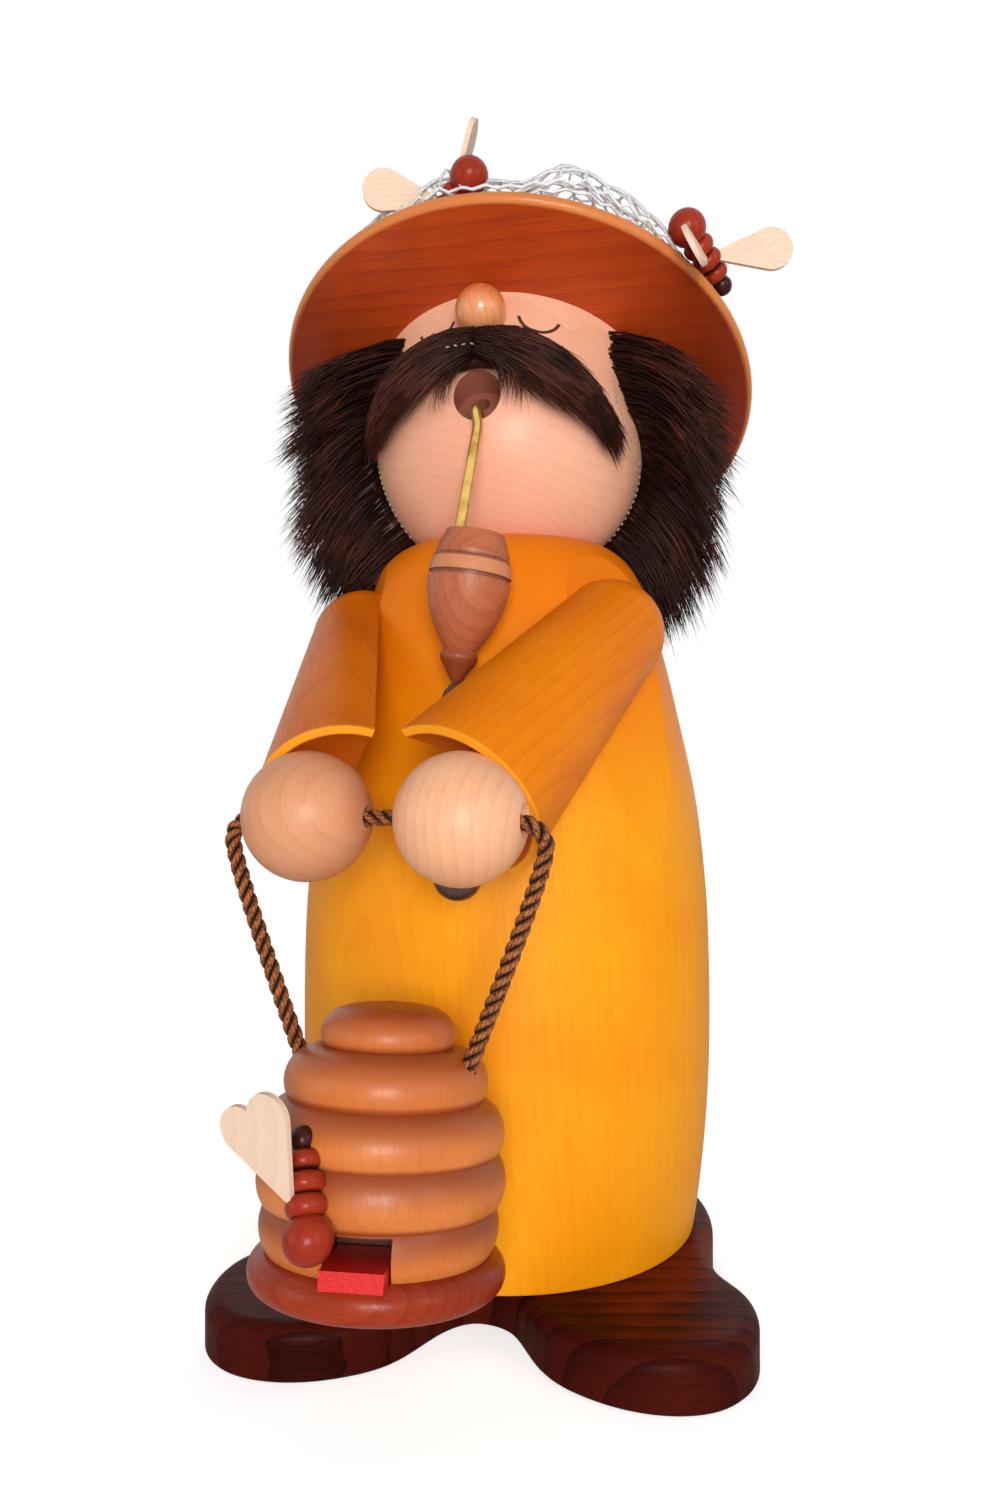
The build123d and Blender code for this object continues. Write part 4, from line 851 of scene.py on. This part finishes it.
for fur_points in (lip_root, lip_bend, lip_tip):
    push_off(fur_points, head_middle, 62.4 * mm)
    push_off(fur_points, nose_middle, 11.4 * mm)
lip_tone = np.clip(hair_rng.normal(0.62, 0.30, lip_count), 0, 1)
lip_width = hair_rng.uniform(0.26, 0.48, lip_count) * mm
moustache_fur = comb("moustache_fur", lip_root, lip_bend, lip_tip, lip_width, lip_tone)
lip_grid = (9, 41, 3)
lip_rows, lip_columns = np.meshgrid(
    np.linspace(-1, 1, lip_grid[0]), np.linspace(-0.92, 0.92, lip_grid[1]), indexing="ij"
)
lip_rows, lip_columns = lip_rows.ravel(), lip_columns.ravel()
lip_arch = np.sqrt(np.clip(1 - lip_rows**2, 0, 1))
lip_inner = lip_place(lip_columns, np.full_like(lip_rows, -1.0), 0.78 * lip_rows).reshape(lip_grid)
lip_outer = lip_place(lip_columns, -0.9 + 1.05 * lip_arch, 0.8 * lip_rows).reshape(lip_grid)
push_off(lip_outer, nose_middle, 11.3 * mm)
moustache_under = undercoat("moustache_under", lip_inner, lip_outer)
parting = np.linspace(-0.15, 0.03, 5)
parting_line = lip_place(parting, 0.62 + 0 * parting, -0.62 + 0 * parting)
parting_stitches = sew("moustache_stitches", parting_line)
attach(parting_stitches, "figure")
for fur_piece in (moustache_fur, moustache_under):
    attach(fur_piece, "figure")
    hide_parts("moustache")

# Hat: a thin turned brim and a low crown in red-brown stain. The board's figure runs from side to
# side, the brim's edge is lighter, and the brim's underside is painted darker towards both sides as shade.
hat_finish, shader, place, _ = wooden_finish(
    "red_brown_hat_stain", (0.52, 0.066, 0.009), (0.27, 0.024, 0.0035), grain=head_left,
    across=head_up, middle=head_middle, pith=(-0.16, 0.05), rings=(0.0062, 0.016, 0.0006),
    shares=(0.30, 0.28, 0.26), gloss=0.34, varnish=0.08, shine=0.25,
)
brim_level, brim_reach = axis_places(place, head_middle, head_up)
edge = times(fade(brim_reach, 0.1050, 0.1064), fade(brim_level, 0.045, 0.040))
recolour(shader, edge, (0.60, 0.185, 0.042))
# Painted shade: the brim's underside is darker towards both sides, under the hair.
aside, _ = axis_places(place, head_middle, head_left)
brim_side_shade = fade(sums("ABSOLUTE", aside), 0.045, 0.100)
under = fade(brim_level, 0.0275, 0.0265)
brim_side_shade = times(times(brim_side_shade, under), 0.82)
recolour(shader, brim_side_shade, (0.17, 0.013, 0.002))
dress("hat_brim", hat_finish)
dress("hat_crown", hat_finish)

# Veil: a strip of open white cotton net with six-sided meshes, gathered into a soft roll that lies
# on the brim round the crown and makes room for the two bees.
thread_width = 1.4 * mm
veil_columns = 64
veil_rows = 7
veil_front = face_out * math.cos(math.radians(15)) + head_left * math.sin(math.radians(15))
veil_middle = head_middle + head_up * (32.7 * mm) + veil_front * (10 * mm)
roll_angles = np.radians([-180, -120, -60, -20, -8, 3, 10, 17, 24.5, 34, 47, 60, 120, 180])
roll_heights = np.array([24, 22, 19, 21, 21, 16, 12, 17, 27, 24, 18, 14, 21, 24]) * mm
roll_shifts = np.array([0, 0, 0, 0, 2, 1, 1, 4, 7, 4, 2, 0, 0, 0]) * mm
bee_rows = {
    "hat_bee_left": (on_head(-0.7, 106, 44.7), 225, 10),
    "hat_bee_right": (on_head(83.2, 73.3, 43.7), 153, 9),
}


def bee_tail(heading, dip):
    """Direction of a bee's tail on the brim."""
    level = math.cos(math.radians(dip))
    ahead = face_out * math.cos(math.radians(heading)) + head_left * math.sin(math.radians(heading))
    return ahead * level - head_up * math.sin(math.radians(dip))


def roll_place(turn, share, layer):
    """Point of the gathered net: a turn round the crown, and a share of its width over the roll."""
    height = np.interp(turn, roll_angles, roll_heights) * (1.0 - 0.26 * layer)
    crease = math.sin(turn * 23 + layer * 2) * 1.0 + math.sin(turn * 41 + share * 9 + layer) * 0.5
    crease += math.sin(turn * 13 + share * 5) * 1.1
    swell = math.sin(math.pi * share)
    inner, outer = (70.5 + 2.5 * layer) * mm, (96.5 - 3.5 * layer) * mm
    radius = inner + (outer - inner) * (0.5 - 0.5 * math.cos(math.pi * share))
    radius += np.interp(turn, roll_angles, roll_shifts) * share + crease * mm * swell
    rise = height * swell**0.75 + (crease * 0.9 + math.sin(turn * 31 + share * 14) * 0.8) * mm * swell
    point = veil_middle + (face_out * math.cos(turn) + head_left * math.sin(turn)) * float(radius)
    point = point + head_up * max(float(rise), 0.8 * mm)
    for start, heading, dip in bee_rows.values():
        tail = bee_tail(heading, dip)
        off = point - start
        along = min(max(off.dot(tail), 0.0), 32.0 * mm)
        aside = off - tail * along
        if aside.length < 8.9 * mm:
            point = start + tail * along + aside.normalized() * (8.9 * mm)
            low = (point - veil_middle).dot(head_up) - 0.8 * mm
            if low < 0:
                point = point - head_up * low
    return point


net_places, net_faces = [], []
for layer in (0, 1):
    known = {}
    for row in range(veil_rows):
        for column in range(veil_columns):
            corners = []
            for k in range(6):
                angle = math.radians(30 + 60 * k)
                x = column + 0.5 * (row % 2) + math.cos(angle) / math.sqrt(3)
                y = row + math.sin(angle) / 1.5
                key = (round((x % veil_columns) * 6) % (veil_columns * 6), round(y * 6))
                if key not in known:
                    known[key] = len(net_places)
                    share = min(max((y + 0.67) / (veil_rows + 0.33), 0.0), 1.0)
                    turn = x / veil_columns * 2 * math.pi + layer * 0.03
                    turn = (turn + math.pi) % (2 * math.pi) - math.pi
                    net_places.append(tuple(roll_place(turn, share, layer)))
                corners.append(known[key])
            net_faces.append(corners)
net_mesh = bpy.data.meshes.new("veil_mesh")
net_mesh.from_pydata(net_places, [], net_faces)
veil = new_piece("veil_mesh", net_mesh)
choose(veil)
threads = veil.modifiers.new("threads", "WIREFRAME")
threads.thickness = thread_width
threads.use_even_offset = False
threads.use_boundary = True
threads.use_replace = True
bpy.ops.object.modifier_apply(modifier=threads.name)
veil.data.shade_smooth()
veil_cotton, tree, shader = new_finish(
    "white_veil_cotton", Roughness=0.85, Subsurface_Weight=0.7, Subsurface_Radius=(1.0, 1.0, 1.0),
    Subsurface_Scale=0.004,
)
cotton_lay = noise(object_place(tree), 1400.0, 2.0)
feed(stain(cotton_lay, (0.97, 0.97, 0.97), (0.84, 0.84, 0.85)), shader, "Base Color")
add_bump(shader, cotton_lay, 0.0002, 0.5)
veil.data.materials.append(veil_cotton)
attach(veil, "figure")
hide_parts("veil_net")

# Bees on the hat: a ball for the head and a ringed body, turned in one and lacquered dark red.
# Two thin drop-shaped wings of pale wood are glued in a slot in its back.


def bee_finish(name, start, tail):
    """Dark red lacquer, painted nearly black in the turned grooves as shade."""
    finish, shader, place, _ = wooden_finish(
        name, (0.36, 0.030, 0.009), (0.17, 0.013, 0.005), grain=tail, across=(0, 0, 1), middle=start,
        pith=(0.004, 0.002), rings=(0.0016, 0.002, 0.0004), shares=(0.3, 0.15, 0.3), gloss=0.30,
        varnish=0.08, relief=0.10, shine=0.12,
    )
    along, radius = axis_places(place, start, tail)
    # Painted shade in the turned grooves.
    groove_shade = times(fade(radius, 0.0054, 0.0042), fade(along, 0.0052, 0.0064))
    recolour(shader, groove_shade, (0.040, 0.006, 0.004))
    return finish


wing_finish = wooden_finish(
    "pale_wing_wood", (0.85, 0.62, 0.46), (0.72, 0.49, 0.34), grain=head_left, across=head_up,
    middle=head_middle, pith=(0.2, 0.1), rings=(0.0022, 0.006, 0.0004), shares=(0.35, 0.35, 0.2),
    gloss=0.55, relief=0.3,
)[0]
for bee_name, (start, heading, dip) in bee_rows.items():
    dress(bee_name + "_body", bee_finish("red_lacquer_" + bee_name, start, bee_tail(heading, dip)))
    dress(bee_name + "_wing_flat", wing_finish)
    dress(bee_name + "_wing_upright", wing_finish)

# Pipe: a bent brass tube in the mouth carries a turned bowl in brown stain, with a raised ring
# between two grooves and a small darker knob below.
pipe_brass, shader = metal_finish("pipe_brass", (0.84, 0.54, 0.15), (0.54, 0.31, 0.075), 0.24)
settle(shader, Metallic=0.92)
dress("pipe_stem", pipe_brass)
bowl_top = Vector((13.9, -84.7, 310.2)) * mm
bowl_tip = Vector((6.4, -87.2, 252.8)) * mm
bowl_finish, shader, place, _ = wooden_finish(
    "brown_bowl_stain_and_painted_light", (0.50, 0.140, 0.055), (0.29, 0.060, 0.021), grain=bowl_tip - bowl_top,
    across=(1, 0, 0), middle=bowl_top, pith=(0.008, 0.006), rings=(0.0024, 0.004, 0.0004),
    shares=(0.35, 0.40, 0.25), gloss=0.42, varnish=0.05, relief=0.3,
)
bowl_along, _ = axis_places(place, bowl_top, bowl_tip - bowl_top)
# Painted highlight on the raised ring, and painted shade in the two grooves.
raised_ring_highlight = times(fade(bowl_along, 0.0100, 0.0112), fade(bowl_along, 0.0170, 0.0158))
recolour(shader, raised_ring_highlight, (0.60, 0.235, 0.105), 0.75)
for groove_place in (10.2, 17.0):
    groove_shade = sums("ABSOLUTE", sums("SUBTRACT", bowl_along, groove_place * mm))
    recolour(shader, fade(groove_shade, 0.0013, 0.0004), (0.15, 0.026, 0.009), 0.8)
recolour(shader, fade(bowl_along, 0.0440, 0.0465), (0.26, 0.050, 0.012))
dress("pipe_bowl", bowl_finish)

# Hive: a skep turned from one block in fat ribs with a knob on top, in brown stain. It is painted
# darker under each groove and inside the doorway as shade, and it is darker towards the top and on the
# knob.
hive_foot = Vector((0.0, -144.53, 63.39)) * mm
hive_up = Vector((0.0, math.sin(math.radians(7.5)), math.cos(math.radians(7.5))))
hive_finish, shader, place, _ = wooden_finish(
    "hive_stain_and_painted_shade", (0.74, 0.235, 0.052), (0.46, 0.100, 0.018), grain=hive_up, across=(1, 0, 0),
    middle=hive_foot, pith=(0.012, 0.02), rings=(0.0034, 0.008, 0.0006), shares=(0.10, 0.16, 0.40),
    gloss=0.42, varnish=0.05, relief=0.10,
)
hive_rise, hive_radius = axis_places(place, hive_foot, hive_up)
# Painted shade under each groove, fading down the rib below.
for groove_height in (14.0, 31.3, 48.5, 65.0):
    below = sums("SUBTRACT", groove_height * mm, hive_rise)
    shade = times(fade(below, 0.0120, 0.0004), fade(below, -0.0024, -0.0003))
    recolour(shader, shade, (0.24, 0.038, 0.008), 0.90)
recolour(shader, fade(hive_rise, 0.066, 0.078), (0.24, 0.033, 0.005), 0.95)
recolour(shader, fade(hive_rise, 0.020, 0.070), (0.46, 0.100, 0.022), 0.5)
# Painted shade inside the doorway.
inside = times(fade(hive_radius, 0.0375, 0.0330), fade(hive_rise, 0.0148, 0.0138))
recolour(shader, inside, (0.10, 0.022, 0.008))
dress("hive_body", hive_finish)

# Hive plate: a round board with a full-round edge in glossy mahogany stain, and the red landing
# board glued on it in the doorway.
plate_finish = wooden_finish(
    "mahogany_plate_lacquer", (0.37, 0.042, 0.012), (0.17, 0.015, 0.005), grain=(1, 0, 0),
    across=hive_up, middle=hive_foot, pith=(0.03, 0.05), rings=(0.004, 0.008, 0.0006),
    shares=(0.3, 0.3, 0.3), gloss=0.30, varnish=0.04, relief=0.15, shine=0.14,
)[0]
dress("hive_plate", plate_finish)
board_paint = wooden_finish(
    "red_board_paint", (0.66, 0.010, 0.007), (0.52, 0.006, 0.004), grain=(0.2, 1, 0), across=hive_up,
    middle=hive_foot, pith=(0.02, 0.05), rings=(0.003, 0.006, 0.0006), shares=(0.2, 0.3, 0.4),
    gloss=0.38, varnish=0.15, relief=0.45,
)[0]
dress("landing_board", board_paint)

# Bee on the hive: the same turned bee, flattened where it is glued on, with one heart-shaped pair
# of wings.
hive_bee = Vector((-2.5, -190.2, 84.0)) * mm
hive_bee_tail = Vector((
    math.cos(math.radians(57)) * math.cos(math.radians(123)),
    math.cos(math.radians(57)) * math.sin(math.radians(123)),
    math.sin(math.radians(57)),
))
dress("hive_bee_body", bee_finish("red_lacquer_hive_bee", hive_bee, hive_bee_tail))
dress("hive_bee_wings", wing_finish)

# Stage: a pale floor that runs into a white ground, and four soft studio lights. The camera and
# the reflections see the ground white, and all else gets only a quarter of it.
pure_white = (1.0, 1.0, 1.0, 1.0)
bpy.ops.object.select_all(action="DESELECT")
bpy.ops.mesh.primitive_plane_add(size=12.0, location=(0, 0, -0.0004))
floor = bpy.context.object
floor.name = "studio_floor"
bpy.ops.object.transform_apply(location=True, rotation=True, scale=True)
floor_finish, tree, shader = new_finish(
    "pale_floor", Base_Color=(0.86, 0.86, 0.86, 1.0), Roughness=0.7, Specular_IOR_Level=0.1
)
seen = node(tree, "ShaderNodeLightPath")
glow = node(tree, "ShaderNodeEmission", None, {"Color": pure_white, "Strength": 0.62})
both = node(tree, "ShaderNodeAddShader", None, {0: shader.outputs[0], 1: glow.outputs[0]})
camera_ray = seen.outputs["Is Camera Ray"]
pick = node(tree, "ShaderNodeMixShader", None, {0: camera_ray, 1: shader.outputs[0], 2: both.outputs[0]})
white_ground = node(tree, "ShaderNodeEmission", None, {"Color": pure_white, "Strength": 1.0})
spread = vectors("LENGTH", object_place(tree))[1]
far = times(fade(spread, 0.26, 0.62), camera_ray)
run_out = node(tree, "ShaderNodeMixShader", None, {0: far, 1: pick.outputs[0], 2: white_ground.outputs[0]})
tree.links.new(run_out.outputs[0], tree.nodes["Material Output"].inputs["Surface"])
floor.data.materials.append(floor_finish)

world = bpy.data.worlds.new("studio_ground")
bpy.context.scene.world = world
world.use_nodes = True
tree = world.node_tree
ground = tree.nodes["Background"]
settle(ground, Color=pure_white)
rays = node(tree, "ShaderNodeLightPath").outputs
white = sums("MAXIMUM", rays["Is Camera Ray"], rays["Is Glossy Ray"])
white = sums("MAXIMUM", white, rays["Is Transmission Ray"])
strength = sums("MULTIPLY_ADD", white, 0.76, 0.24)
feed(strength, ground, "Strength")


def softbox(name, place, aim, width, height, watts):
    """Soft rectangular lamp turned to the place it lights."""
    lamp = bpy.data.lights.new(name, "AREA")
    lamp.shape = "RECTANGLE"
    lamp.size, lamp.size_y = width, height
    lamp.energy = watts
    holder = new_piece(name, lamp)
    holder.location = place
    holder.rotation_euler = (Vector(aim) - Vector(place)).to_track_quat("-Z", "Y").to_euler()


softbox("softbox_front", (0.55, -1.50, 0.42), (0, 0, 0.24), 0.55, 0.55, 17.8)
softbox("softbox_right", (1.20, -0.55, 0.60), (0, 0, 0.24), 0.4, 0.7, 2.5)
softbox("softbox_left", (-0.95, -0.95, 0.35), (0, 0, 0.24), 0.4, 0.7, 1.8)
softbox("softbox_back", (-0.40, 1.30, 0.85), (0, 0, 0.20), 0.6, 0.6, 4.0)

scene = bpy.context.scene
scene.view_settings.view_transform = "Standard"
